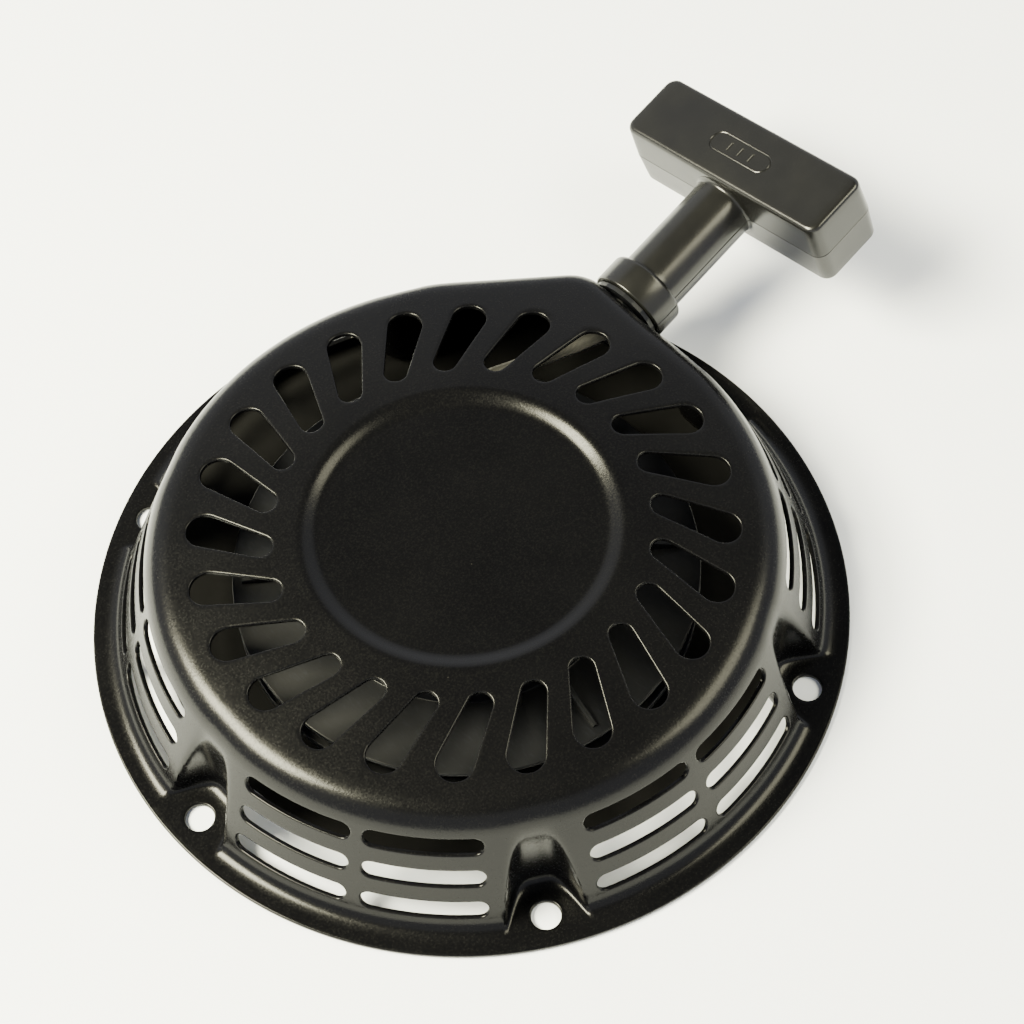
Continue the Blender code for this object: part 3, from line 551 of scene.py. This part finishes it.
def buildNeck(material):
    # collar with a rounded shoulder, a small step, the round neck, and a flare into the bar
    k = handle
    start, end = k["collarFrom"], k["collarFrom"] + k["collarLength"]
    face = k["barAt"] - k["barDepth"] / 2 + k["draft"] / 2
    profile = [(start, 0), (start, k["bore"] + 2)]
    profile += arc(start + k["endEdge"], k["collar"] - k["endEdge"], k["endEdge"], 180, 90, 5)
    profile += arc(end - k["shoulder"], k["collar"] - k["shoulder"], k["shoulder"], 90, 8, 9)
    profile += arc(end + k["step"] + 0.1, k["neck"] + k["step"], k["step"], 190, 270, 5)
    profile += [(x, k["neck"]) for x in np.linspace(end + 2, face - k["neckBlend"] - 1, 12)]
    profile += arc(face - k["neckBlend"], k["neck"] + k["neckBlend"], k["neckBlend"], 270, 360, 8)
    profile += [(face + 4, k["neck"] + k["neckBlend"]), (face + 6, 0)]
    seam = np.array([-1.6, -0.8, 0, 0.8, 1.6])
    turns = np.concatenate([np.linspace(2, 178, 45), 180 + seam, np.linspace(182, 358, 45), seam + 360])
    dip = lambda turn: k["seamDepth"] * np.exp(-((turn + 90) % 180 - 90) ** 2 / 0.8)
    skin = Skin()
    skin.add(onPullLine(turnedSkin(profile, turns, dip)), wrap=True)
    return skin.build("handle_neck", material, 0.01, 35)


def rod(path, radius, sides=10, closed=False):
    # round bar along points in mm; the ends are closed to a point on the path
    path = np.asarray(path, float)
    ahead = np.roll(path, -1, 0) - np.roll(path, 1, 0) if closed else np.gradient(path, axis=0)
    ahead /= np.linalg.norm(ahead, axis=1, keepdims=True)
    side = np.cross(ahead, [0, 0, 1.0])
    side /= np.maximum(np.linalg.norm(side, axis=1, keepdims=True), 1e-9)
    up = np.cross(side, ahead)
    turn = np.arange(sides) * 360 / sides
    ring = side[:, None] * cosd(turn)[:, None] + up[:, None] * sind(turn)[:, None]
    tube = path[:, None] + ring * radius
    if closed:
        return np.concatenate([tube, tube[:1]])
    return np.concatenate([np.repeat(path[:1, None], sides, 1), tube, np.repeat(path[-1:, None], sides, 1)])


def buildMark(material):
    # plain oval groove with three short bars inside, pressed into the bar's top face
    k = handle
    top = k["barHeight"] / 2 + k["markLine"] - k["markDepth"]
    half, reach = k["markHeight"] / 2, k["markLength"] / 2 - k["markHeight"] / 2
    turn = np.linspace(0, 180, 17)
    right = np.stack([-half * cosd(turn), reach + half * sind(turn)], -1)
    outline = np.concatenate([right, -right])
    tools = [rod(onPullLine(np.column_stack([outline[:, 0] + k["barAt"], outline[:, 1],
                                             np.full(len(outline), top)])), k["markLine"], 10, True)]
    for y in (-4.5, 0, 4.5):
        line = np.linspace(-1.6, 1.6, 6)
        tools.append(rod(onPullLine(np.column_stack([line + k["barAt"], line * 0 + y, line * 0 + top])),
                         k["markLine"], 10))
    made = []
    for number, tube in enumerate(tools):
        skin = Skin()
        skin.add(tube, wrap=True)
        made.append(skin.build("mark_%d" % number, material, 0.002, 60))
    return made


def buildHandle(material):
    k = handle
    body = buildBar(material)
    pocket = Skin()
    deep, wide = k["pocket"][1] / 2, k["pocket"][0] / 2
    outer = k["barAt"] + k["barDepth"] / 2
    ring = boxRing(deep, wide, k["pocketCorner"])
    levels = (outer - k["pocketDepth"], outer + 3)
    sides = np.stack([np.column_stack([np.full(len(ring), x), ring[:, 1], ring[:, 0]]) for x in levels])
    pocket.add(onPullLine(sides), wrap=True)
    for end in sides:
        middle = np.repeat(end.mean(0, keepdims=True), len(end), 0)
        pocket.add(onPullLine(np.stack([end, middle])), wrap=True)
    bore = Skin()
    profile = [(0, 0), (0, k["bore"]), (outer, k["bore"]), (outer, 0)]
    bore.add(onPullLine(turnedSkin(profile, np.arange(32) * 11.25)), wrap=True)
    carve(body, "UNION", buildNeck(material))
    tools = [pocket.build("pocket", material, 0.01, 35), bore.build("bore", material, 0.01, 35)]
    carve(body, "DIFFERENCE", *tools, *buildMark(material))
    weld(body, 0.005 * mm, 32)
    return body


def cutGuideHole(shell, material, radius=7.8):
    # round hole for the rope guide through the outlet's flat face
    skin = Skin()
    profile = [(-8, 0), (-8, radius), (6, radius), (6, 0)]
    skin.add(onPullLine(turnedSkin(profile, np.arange(48) * 7.5)), wrap=True)
    carve(shell, "DIFFERENCE", skin.build("guide_hole", material, 0.01, 35))
    weld(shell, 0.004 * mm, 40)
    return shell


# Starter rope, in mm
rope = {
    "diameter": 5.0, "strands": 8, "strandPitch": 17.0, "relief": 0.26,
    "knotFrom": 64.5, "guideEnd": -8.3, "windOuter": 61.95, "drum": 46.65, "level": 18.9,
    "turns": 2.82, "fit": 0.985, "turnStep": 4.98, "climb": 0.13, "slack": 0.35, "gap": 0.3, "windFrom": 200,
}


def catmull(points, steps):
    # smooth curve through the route's points
    points = np.asarray(points, float)
    ends = np.concatenate([[2 * points[0] - points[1]], points, [2 * points[-1] - points[-2]]])
    t = np.linspace(0, 1, steps, endpoint=False)[None, :, None]
    a, b, c, d = (ends[i:len(ends) - 3 + i, None] for i in range(4))
    path = 2 * b + (c - a) * t + (2 * a - 5 * b + 4 * c - d) * t * t + (3 * b - a - 3 * c + d) * t ** 3
    path *= 0.5
    return np.concatenate([path.reshape(-1, 3), points[-1:]])


def evenly(path, step):
    # the same curve with points a fixed distance apart
    gone = np.concatenate([[0], np.cumsum(np.linalg.norm(np.diff(path, axis=0), axis=1))])
    wanted = np.linspace(0, gone[-1], max(int(gone[-1] / step), 4) + 1)
    return np.stack([np.interp(wanted, gone, path[:, i]) for i in range(3)], -1), wanted


def braid(name, path, material, step=0.7, sides=32):
    # tube whose radius follows two sets of strands that wind opposite ways, crossing over and under
    k = rope
    path, gone = evenly(path, step)
    ahead = np.gradient(path, axis=0)
    ahead /= np.linalg.norm(ahead, axis=1, keepdims=True)
    side = np.cross(ahead, [0, 0, 1.0])
    side /= np.linalg.norm(side, axis=1, keepdims=True)
    up = np.cross(side, ahead)
    turn = np.arange(sides) * 2 * np.pi / sides
    phase = 2 * np.pi * gone[:, None] / k["strandPitch"]
    half = k["strands"] / 2
    oneWay, otherWay = half * (turn - phase), half * (turn + phase)
    over = np.where(np.cos(oneWay) * np.cos(otherWay) > 0, np.abs(np.cos(oneWay)), np.abs(np.cos(otherWay)))
    radius = k["diameter"] / 2 * k["fit"] - k["relief"] * (1 - over ** 0.7)
    ring = side[:, None] * np.cos(turn)[:, None] + up[:, None] * np.sin(turn)[:, None]
    tube = path[:, None] + ring * radius[..., None]
    skin = Skin()
    start, end = (np.repeat(point[None], sides, 1) for point in (path[:1], path[-1:]))
    skin.add(np.concatenate([start, tube, end]), wrap=True)
    return skin.build(name, material, 0.002, 70)


def leadPath():
    # from the handle's knot down its bore, through the guide, and onto the winding, which it
    # touches where a line from the guide grazes it
    k = rope
    line = lambda x: onPullLine(np.array([x, 0.0, 0.0]))
    inside = line(k["guideEnd"])
    radius = k["windOuter"] + k["gap"] + k["diameter"] / 2
    turn = math.atan2(inside[1], inside[0]) + math.acos(radius / math.hypot(inside[0], inside[1]))
    touch = np.array([radius * math.cos(turn), radius * math.sin(turn), k["level"]])
    heading = np.array([math.sin(turn), -math.cos(turn), 0])
    run = touch + heading * 26
    bend = inside + (run - inside) / np.linalg.norm(run - inside) * 3
    route = [line(k["knotFrom"]), line(40), line(16), line(-2.3), bend - [0, 0, k["gap"]], run,
             touch + heading * 13, touch]
    return catmull(route, 10)


def windingPath():
    # single turns on top of one another in the reel's groove: each keeps its radius, and climbs
    # one rope's thickness in the last part of the turn (3 t^2 - 2 t^3)
    k = rope
    turn = np.linspace(0, k["turns"], int(k["turns"] * 180))
    climb = np.clip((turn % 1 - 1 + k["climb"]) / k["climb"], 0, 1)
    layer = np.floor(turn) + climb * climb * (3 - 2 * climb)
    radius = k["drum"] + k["slack"] + k["diameter"] / 2 + layer * k["turnStep"]
    angle = k["windFrom"] + 360 * turn
    return np.stack([radius * cosd(angle), radius * sind(angle), np.full_like(radius, k["level"])], -1)


# Moulded rope reel: pairs are inner and outer, or lower and upper
reel = {
    "hub": (10.7, 13.3), "hubLow": 10.7, "hubTop": 19.7, "floor": (14.1, 15.7), "flange": (22.1, 23.7),
    "cup": (44.15, 46.65), "cupTop": 35.0, "rim": 69.65, "lip": 12.9, "lipWidth": 1.5, "ridge": 39.5,
    "round": 0.45, "ribs": 6, "ribWidth": 1.5, "ribRise": 6.0, "webs": 12, "webWidth": 1.3,
    "boss": 3.2, "bossAt": 48.25, "bossHole": 1.8, "pinAt": 30.0, "pinHole": 3.3,
}


def rounded(corners, size, steps=5):
    # outline whose every corner P becomes a quarter round: P - in (1 - sin t) + out (1 - cos t)
    corner = np.array(corners, float)
    into = corner - np.roll(corner, 1, 0)
    into /= np.linalg.norm(into, axis=1, keepdims=True)
    out = np.roll(into, -1, 0)
    t = np.linspace(0, 90, steps)[None, :, None]
    turned = out[:, None] * (1 - cosd(t)) - into[:, None] * (1 - sind(t))
    return (corner[:, None] + size * turned).reshape(-1, 2)


def standing(radius, low, top, centre, sides=40):
    # upright round bar about centre, closed at both ends
    turn = np.arange(sides) * 360 / sides
    wide = np.array([0, radius, radius, 0])[:, None]
    level = np.array([low, low, top, top])[:, None] + 0 * turn
    return np.stack([centre[0] + wide * cosd(turn), centre[1] + wide * sind(turn), level], -1)


def fins(headings, inner, outer, width, low, topInner, topOuter):
    # one thin upright web for each heading, from inner to outer radius; the edges of its free side,
    # which may be above or below low, are chamfered
    half, cut = width / 2, 0.25
    far = np.array([inner, inner, outer, outer])[:, None]
    top = np.array([topInner, topInner, topOuter, topOuter])[:, None]
    sign = 1 if topInner > low else -1
    y = np.array([-half, half, half, half - cut, cut - half, -half]) * np.array([0, 1, 1, 0])[:, None]
    z = np.where(np.arange(6) < 2, low, top - sign * cut * np.array([0, 0, 1, 0, 0, 1]))
    z = np.where(np.array([0, 1, 1, 0])[:, None] > 0, z, (low + top) / 2)
    return [np.stack([far * cosd(a) - y * sind(a), far * sind(a) + y * cosd(a), z], -1) for a in headings]


def polar(radius, heading):
    # x and y of a point at that radius and heading
    return radius * cosd(heading), radius * sind(heading)


def buildReel(material):
    # drum, two flanges, spring cup and hub turned in one profile, then webs, bosses and holes
    k = reel
    (floorLow, floorTop), (flangeLow, flangeTop), (cupIn, cupOut) = k["floor"], k["flange"], k["cup"]
    corners = [(k["hub"][0], k["hubLow"]), (k["hub"][1], k["hubLow"]), (k["hub"][1], floorLow),
               (k["ridge"], floorLow), (k["ridge"], k["lip"]), (k["ridge"] + k["lipWidth"], k["lip"]),
               (k["ridge"] + k["lipWidth"], floorLow), (k["rim"] - k["lipWidth"], floorLow),
               (k["rim"] - k["lipWidth"], k["lip"]), (k["rim"], k["lip"]), (k["rim"], floorTop),
               (cupOut, floorTop), (cupOut, flangeLow), (k["rim"], flangeLow), (k["rim"], flangeTop),
               (cupOut, flangeTop), (cupOut, k["cupTop"]), (cupIn, k["cupTop"]), (cupIn, floorTop),
               (k["hub"][1], floorTop), (k["hub"][1], k["hubTop"]), (k["hub"][0], k["hubTop"])]
    outline = rounded(corners, k["round"])
    outline = np.concatenate([outline, outline[:1]])
    turn = np.arange(180) * 2.0
    skin = Skin()
    skin.add(np.stack([outline[:, :1] * cosd(turn), outline[:, :1] * sind(turn),
                       outline[:, 1:] + 0 * turn], -1), wrap=True)
    body = skin.build("reel_body", material, 0.01, 35)
    knotLow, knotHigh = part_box("reel_knot")
    knotHeading = math.degrees(math.atan2(knotLow[1] + knotHigh[1], knotLow[0] + knotHigh[0]))
    inFloor, inFlange = (floorLow + floorTop) / 2, (flangeLow + flangeTop) / 2
    extra = Skin()
    for web in fins((np.arange(k["ribs"]) + 0.3) * 360 / k["ribs"], (cupIn + cupOut) / 2, k["rim"] - 3,
                    k["ribWidth"], inFlange, flangeTop + k["ribRise"], flangeTop + 1):
        extra.add(web, wrap=True)
    for web in fins(knotHeading + 15 + np.arange(k["webs"]) * 360 / k["webs"], k["ridge"] + 0.7,
                    k["rim"] - 0.7, k["webWidth"], inFloor, k["lip"] + 0.1, k["lip"] + 0.1):
        extra.add(web, wrap=True)
    carve(body, "UNION", extra.build("webs", material, 0.001, 30))
    bosses, holes = Skin(), Skin()
    for heading in (0, 120, 240):
        centre = polar(k["bossAt"], heading)
        bosses.add(standing(k["boss"], inFlange, k["cupTop"], centre), wrap=True)
        holes.add(standing(k["bossHole"], k["cupTop"] - 7, k["cupTop"] + 2, centre), wrap=True)
    for heading in (90, 270):
        centre = polar(k["pinAt"], heading)
        holes.add(standing(k["pinHole"], floorLow - 2, floorTop + 1, centre), wrap=True)
    carve(body, "UNION", bosses.build("bosses", material, 0.001, 30))
    carve(body, "DIFFERENCE", holes.build("holes", material, 0.001, 30))
    weld(body, 0.004 * mm, 32)
    return body


# Materials, each named for what the real one is and how its surface was made
def linear(hexColour):
    # sRGB hex to linear colour
    parts = [int(hexColour[i:i + 2], 16) / 255 for i in (1, 3, 5)]
    return [c / 12.92 if c <= 0.04045 else ((c + 0.055) / 1.055) ** 2.4 for c in parts] + [1]


def add(tree, kind, links=None, **settings):
    # one node: settings are its own fields, links are values or sockets for its inputs
    made = tree.nodes.new("ShaderNode" + kind)
    for name, value in settings.items():
        setattr(made, name, value)
    for name, value in (links or {}).items():
        if isinstance(value, bpy.types.NodeSocket):
            tree.links.new(value, made.inputs[name])
        else:
            made.inputs[name].default_value = value
    return made


def surface(name, **values):
    # a new material with its constant values set on the shader itself
    material = bpy.data.materials.new(name)
    material.use_nodes = True
    tree = material.node_tree
    shader = tree.nodes["Principled BSDF"]
    for key, value in values.items():
        shader.inputs[key.replace("_", " ")].default_value = value
    place = tree.nodes.new("ShaderNodeTexCoord").outputs["Object"]
    return material, tree, shader, place


def noise(tree, place, size, detail=2.0, rough=0.5, stretch=None):
    # cloudy pattern whose patches are about size mm wide; stretch scales the place on each axis
    if stretch:
        place = add(tree, "Mapping", {"Vector": place, "Scale": stretch}).outputs[0]
    links = {"Vector": place, "Scale": 1 / (size * mm), "Detail": detail, "Roughness": rough}
    return add(tree, "TexNoise", links).outputs["Fac"]


def ramp(tree, value, low, high, start=0.0, end=1.0, **more):
    # value from low to high becomes start to end
    links = {"Value": value, "From Min": low, "From Max": high, "To Min": start, "To Max": end}
    return add(tree, "MapRange", links, **more).outputs["Result"]


def blendColour(tree, factor, first, second):
    # first colour where factor is 0, second where it is 1
    mix = add(tree, "Mix", data_type="RGBA")
    for socket, value in ((0, factor), (6, first), (7, second)):
        if isinstance(value, bpy.types.NodeSocket):
            tree.links.new(value, mix.inputs[socket])
        else:
            mix.inputs[socket].default_value = value
    return mix.outputs[2]


def feed(tree, shader, colour, rough=None):
    tree.links.new(colour, shader.inputs["Base Color"])
    if rough:
        tree.links.new(rough, shader.inputs["Roughness"])


def bump(tree, shader, height, depth, strength):
    # relief of about depth mm from a height pattern
    node = add(tree, "Bump", {"Height": height, "Distance": depth * mm, "Strength": strength})
    tree.links.new(node.outputs["Normal"], shader.inputs["Normal"])


def specks(tree, place, spacing, size, share):
    # sparse dots: cells a given distance apart, of which only a share carry one
    cell = add(tree, "TexVoronoi", {"Vector": place, "Scale": 1 / (spacing * mm)})
    near = ramp(tree, cell.outputs["Distance"], size / spacing, size / spacing * 0.6)
    pick = add(tree, "SeparateColor", {"Color": cell.outputs["Color"]}).outputs["Red"]
    chosen = add(tree, "Math", {0: pick, 1: share}, operation="LESS_THAN").outputs[0]
    return add(tree, "Math", {0: near, 1: chosen}, operation="MULTIPLY").outputs[0]


def paintedSteel():
    # black satin stoving enamel on pressed steel: soft broad gloss with a fine grain of
    # metallic flakes (0.6 mm here so that it shows), a slightly uneven gloss and a few dust specks
    material, tree, shader, place = surface("satin_black_enamel", Roughness=0.22, IOR=1.5,
                                            Specular_IOR_Level=0.17)
    flakes = noise(tree, place, 0.6, 2.0)
    cloud = noise(tree, place, 38, 3.0)
    colour = blendColour(tree, ramp(tree, cloud, 0.3, 0.7), linear("#040405"), linear("#060607"))
    colour = blendColour(tree, ramp(tree, flakes, 0.5, 0.78, 0, 0.4), colour, linear("#0b0b0a"))
    dust = specks(tree, place, 8, 0.22, 0.3)
    colour = blendColour(tree, ramp(tree, dust, 0, 1, 0, 0.5), colour, linear("#2c2b28"))
    uneven = noise(tree, place, 14, 4.0)
    broad, fine = ramp(tree, uneven, 0.3, 0.7, 0.22, 0.25), ramp(tree, flakes, 0.3, 0.7, -0.05, 0.05)
    feed(tree, shader, colour, add(tree, "Math", {0: broad, 1: fine}, operation="ADD").outputs[0])
    bump(tree, shader, flakes, 0.05, 0.45)
    return material


def blackPvc():
    # moulded PVC: semi-gloss black skin with a faint spark-eroded grain and slow waviness
    material, tree, shader, place = surface("moulded_black_pvc", Roughness=0.26, IOR=1.5,
                                            Specular_IOR_Level=0.36)
    grain = noise(tree, place, 0.4, 2.0)
    wave = noise(tree, place, 22, 2.0)
    colour = blendColour(tree, ramp(tree, wave, 0.3, 0.7), linear("#0d0d0d"), linear("#111110"))
    dust = specks(tree, place, 7, 0.2, 0.25)
    colour = blendColour(tree, ramp(tree, dust, 0, 1, 0, 0.4), colour, linear("#262522"))
    feed(tree, shader, colour, ramp(tree, noise(tree, place, 6, 3.0), 0.3, 0.7, 0.22, 0.27))
    height = add(tree, "Math", {0: grain, 1: ramp(tree, wave, 0, 1, 0, 6)}, operation="ADD").outputs[0]
    bump(tree, shader, height, 0.01, 0.45)
    return material


def blackNylon():
    # glass-filled nylon moulding: cooler, duller black with short pale fibres near the skin
    material, tree, shader, place = surface("glass_filled_nylon", Roughness=0.36, IOR=1.5,
                                            Specular_IOR_Level=0.24)
    fibre = noise(tree, place, 0.5, 2.0, stretch=(1, 0.22, 1))
    cloud = noise(tree, place, 25, 3.0)
    colour = blendColour(tree, ramp(tree, cloud, 0.3, 0.7), linear("#090a0d"), linear("#0d0e12"))
    colour = blendColour(tree, ramp(tree, fibre, 0.55, 0.75, 0, 0.3), colour, linear("#1f2128"))
    feed(tree, shader, colour, ramp(tree, cloud, 0.3, 0.7, 0.32, 0.42))
    bump(tree, shader, fibre, 0.015, 0.4)
    return material


def zincSteel():
    # bright zinc plate with a pale blue-yellow passivation and a fine crystalline grain
    material, tree, shader, place = surface("bright_zinc_plate", Metallic=1.0, Roughness=0.32)
    cloud, grain = noise(tree, place, 9, 3.0), noise(tree, place, 0.5, 2.0)
    colour = blendColour(tree, ramp(tree, cloud, 0.3, 0.7), linear("#b4b5b1"), linear("#c9c3a6"))
    feed(tree, shader, colour, ramp(tree, grain, 0.3, 0.7, 0.25, 0.42))
    bump(tree, shader, grain, 0.008, 0.4)
    return material


def springSteel():
    # blued, oiled spring strip: dark, with fine rolling lines along the height
    material, tree, shader, place = surface("blued_spring_steel", Metallic=1.0, Roughness=0.3)
    lines = noise(tree, place, 1.2, 3.0, stretch=(0.2, 0.2, 6))
    cloud = noise(tree, place, 12, 3.0)
    colour = blendColour(tree, ramp(tree, cloud, 0.3, 0.7), linear("#4b5058"), linear("#6a655c"))
    feed(tree, shader, colour, ramp(tree, lines, 0.3, 0.7, 0.22, 0.4))
    bump(tree, shader, lines, 0.006, 0.4)
    return material


def sinteredBronze():
    # oil-soaked sintered bronze: matt, with open pores
    material, tree, shader, place = surface("sintered_bronze", Metallic=1.0, Roughness=0.5)
    pores = noise(tree, place, 0.45, 3.0, 0.65)
    colour = blendColour(tree, ramp(tree, pores, 0.35, 0.6), linear("#6b4a2a"), linear("#b98c55"))
    feed(tree, shader, colour, ramp(tree, pores, 0.3, 0.7, 0.62, 0.4))
    bump(tree, shader, pores, 0.02, 0.5)
    return material


def nylonRope():
    # braided nylon cord: black filaments with a soft sheen and dusty handling marks
    material, tree, shader, place = surface("braided_nylon", Roughness=0.62, IOR=1.53, Sheen_Weight=0.3,
                                            Sheen_Roughness=0.5)
    threads, dirt = noise(tree, place, 0.35, 3.0, 0.6), noise(tree, place, 6, 3.0)
    colour = blendColour(tree, ramp(tree, threads, 0.3, 0.7), linear("#131312"), linear("#24231f"))
    colour = blendColour(tree, ramp(tree, dirt, 0.45, 0.75, 0, 0.5), colour, linear("#33312b"))
    feed(tree, shader, colour, ramp(tree, threads, 0.3, 0.7, 0.55, 0.72))
    bump(tree, shader, threads, 0.05, 0.6)
    return material


looks = {
    "painted_steel": paintedSteel(), "black_pvc": blackPvc(), "black_nylon": blackNylon(),
    "zinc_steel": zincSteel(), "spring_steel": springSteel(), "bronze": sinteredBronze(),
    "rope": nylonRope(),
}
print("materials made")


def show(piece, body, slot, *nodes):
    # the piece moves with the body and stands for the nodes
    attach(piece, body)
    if nodes:
        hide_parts(*nodes)
    return piece


shell = cutGuideHole(buildHousing(looks["painted_steel"]), looks["painted_steel"])
show(shell, "housing", "painted_steel", "starter_housing")
print("housing made", len(shell.data.polygons))
show(buildHandle(looks["black_pvc"]), "handle", "black_pvc", "pull_handle")
print("handle made")
lead = braid("rope_lead_braid", leadPath(), looks["rope"])
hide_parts("rope_lead")
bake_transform(lead)
show(braid("rope_winding_turns", windingPath(), looks["rope"], 0.9, 24), "reel", "rope", "rope_winding")
print("rope made")
show(buildReel(looks["black_nylon"]), "reel", "black_nylon", "rope_reel")
print("reel made")
for obj in [o for o in bpy.data.objects if o.type == "MESH" and "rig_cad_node" in o and not o.hide_render]:
    for one in obj.material_slots:
        key = one.material.name.split(".")[0] if one.material else ""
        if key in looks:
            one.material = looks[key]
        else:
            print("note: no look for", obj.name, key)


# Camera, floor and lights
def aimCamera():
    # turned by azimuth, tipped by elevation, then rolled; its place is in mm along the turned axes
    azimuth, elevation, roll = -42.5, 57.82, -4.328
    spin = np.array([[cosd(azimuth), -sind(azimuth), 0], [sind(azimuth), cosd(azimuth), 0], [0, 0, 1]])
    flat, steep = cosd(elevation), sind(elevation)
    level = np.array([[1, 0, 0], [0, -steep, -flat], [0, flat, -steep]])
    tilt = np.array([[cosd(roll), -sind(roll), 0], [sind(roll), cosd(roll), 0], [0, 0, 1]])
    right, down, ahead = tilt @ level @ spin.T
    data = bpy.data.cameras.new("camera")
    data.lens, data.sensor_width = 88.1, 36
    data.clip_start, data.clip_end = 0.01, 30
    camera = bpy.data.objects.new("camera", data)
    bpy.context.scene.collection.objects.link(camera)
    place = np.eye(4)
    place[:3, :3] = np.stack([right, -down, -ahead], 1)
    place[:3, 3] = spin @ np.array([14.77, -384.32, 660.90]) * mm
    camera.matrix_world = Matrix(place.tolist())
    bpy.context.scene.camera = camera
    return spin


def softBox(name, towards, distance, size, power, spin, colour):
    # area light seen from the object in direction (azimuth from the camera's side, elevation)
    azimuth, elevation = towards
    flat = cosd(elevation)
    aim = spin @ np.array([sind(azimuth) * flat, -cosd(azimuth) * flat, sind(elevation)])
    data = bpy.data.lights.new(name, "AREA")
    data.shape, data.size, data.size_y = "RECTANGLE", size[0], size[1]
    data.energy, data.color = power, linear(colour)[:3]
    light = bpy.data.objects.new(name, data)
    bpy.context.scene.collection.objects.link(light)
    light.location = Vector(aim * distance)
    light.rotation_euler = Vector(aim).to_track_quat("Z", "Y").to_euler()


def disc(name, material, radii, height, centre):
    # flat round sheet about centre, its points on circles of the given radii
    turn = np.linspace(0, 360, 97)[:-1]
    radius = np.array(radii)[:, None]
    level = height + 0 * radius * turn
    skin = Skin()
    skin.add(np.stack([radius * cosd(turn), radius * sind(turn), level], -1) + centre, wrap=True)
    return skin.build(name, material, 0.01, 35)


def buildStudio(spin):
    # white board that it all stands on, and a matt black disc under the part: painted shade that keeps its
    # inside dark where the housing's shadow falls
    white, tree, shader, place = surface("matt_white_board", Roughness=0.85, Specular_IOR_Level=0.2)
    tone = blendColour(tree, noise(tree, place, 60, 2.0), linear("#eef2fb"), linear("#f1f5fd"))
    feed(tree, shader, tone)
    # painted shade: near-black matt stands in for the shadowed board inside the housing
    black, tree, shader, place = surface("painted_shade_black", Roughness=0.9, Specular_IOR_Level=0.1)
    tone = blendColour(tree, noise(tree, place, 3, 3.0), linear("#0b0b0b"), linear("#101010"))
    feed(tree, shader, tone)
    board = disc("floor", white, [0.0, 300, 1500, 6000], -0.3, [0, 0, 0])
    # painted shade disc, its centre 13 mm further from the camera, where the shadow inside the housing lies
    disc("under_card", black, [0.0, 97.0], -0.2, spin @ np.array([0, 13.0, 0]))
    softBox("left", (-84, 50), 1.4, (0.8, 0.5), 160, spin, "#fdf8d6")
    softBox("right", (88, 49), 1.4, (0.8, 0.5), 22, spin, "#fdf8d6")
    # room: white near the horizon, falling to a dim ceiling
    world = bpy.data.worlds.new("studio")
    world.use_nodes = True
    tree = world.node_tree
    direction = tree.nodes.new("ShaderNodeTexCoord").outputs["Generated"]
    height = add(tree, "SeparateXYZ", {"Vector": direction}).outputs["Z"]
    glow = ramp(tree, height, 0.58, 0.83, 1.3, 0.2, interpolation_type="SMOOTHSTEP")
    tree.links.new(glow, tree.nodes["Background"].inputs["Strength"])
    tree.nodes["Background"].inputs["Color"].default_value = linear("#f0f3fb")
    bpy.context.scene.world = world


buildStudio(aimCamera())
print("studio set")
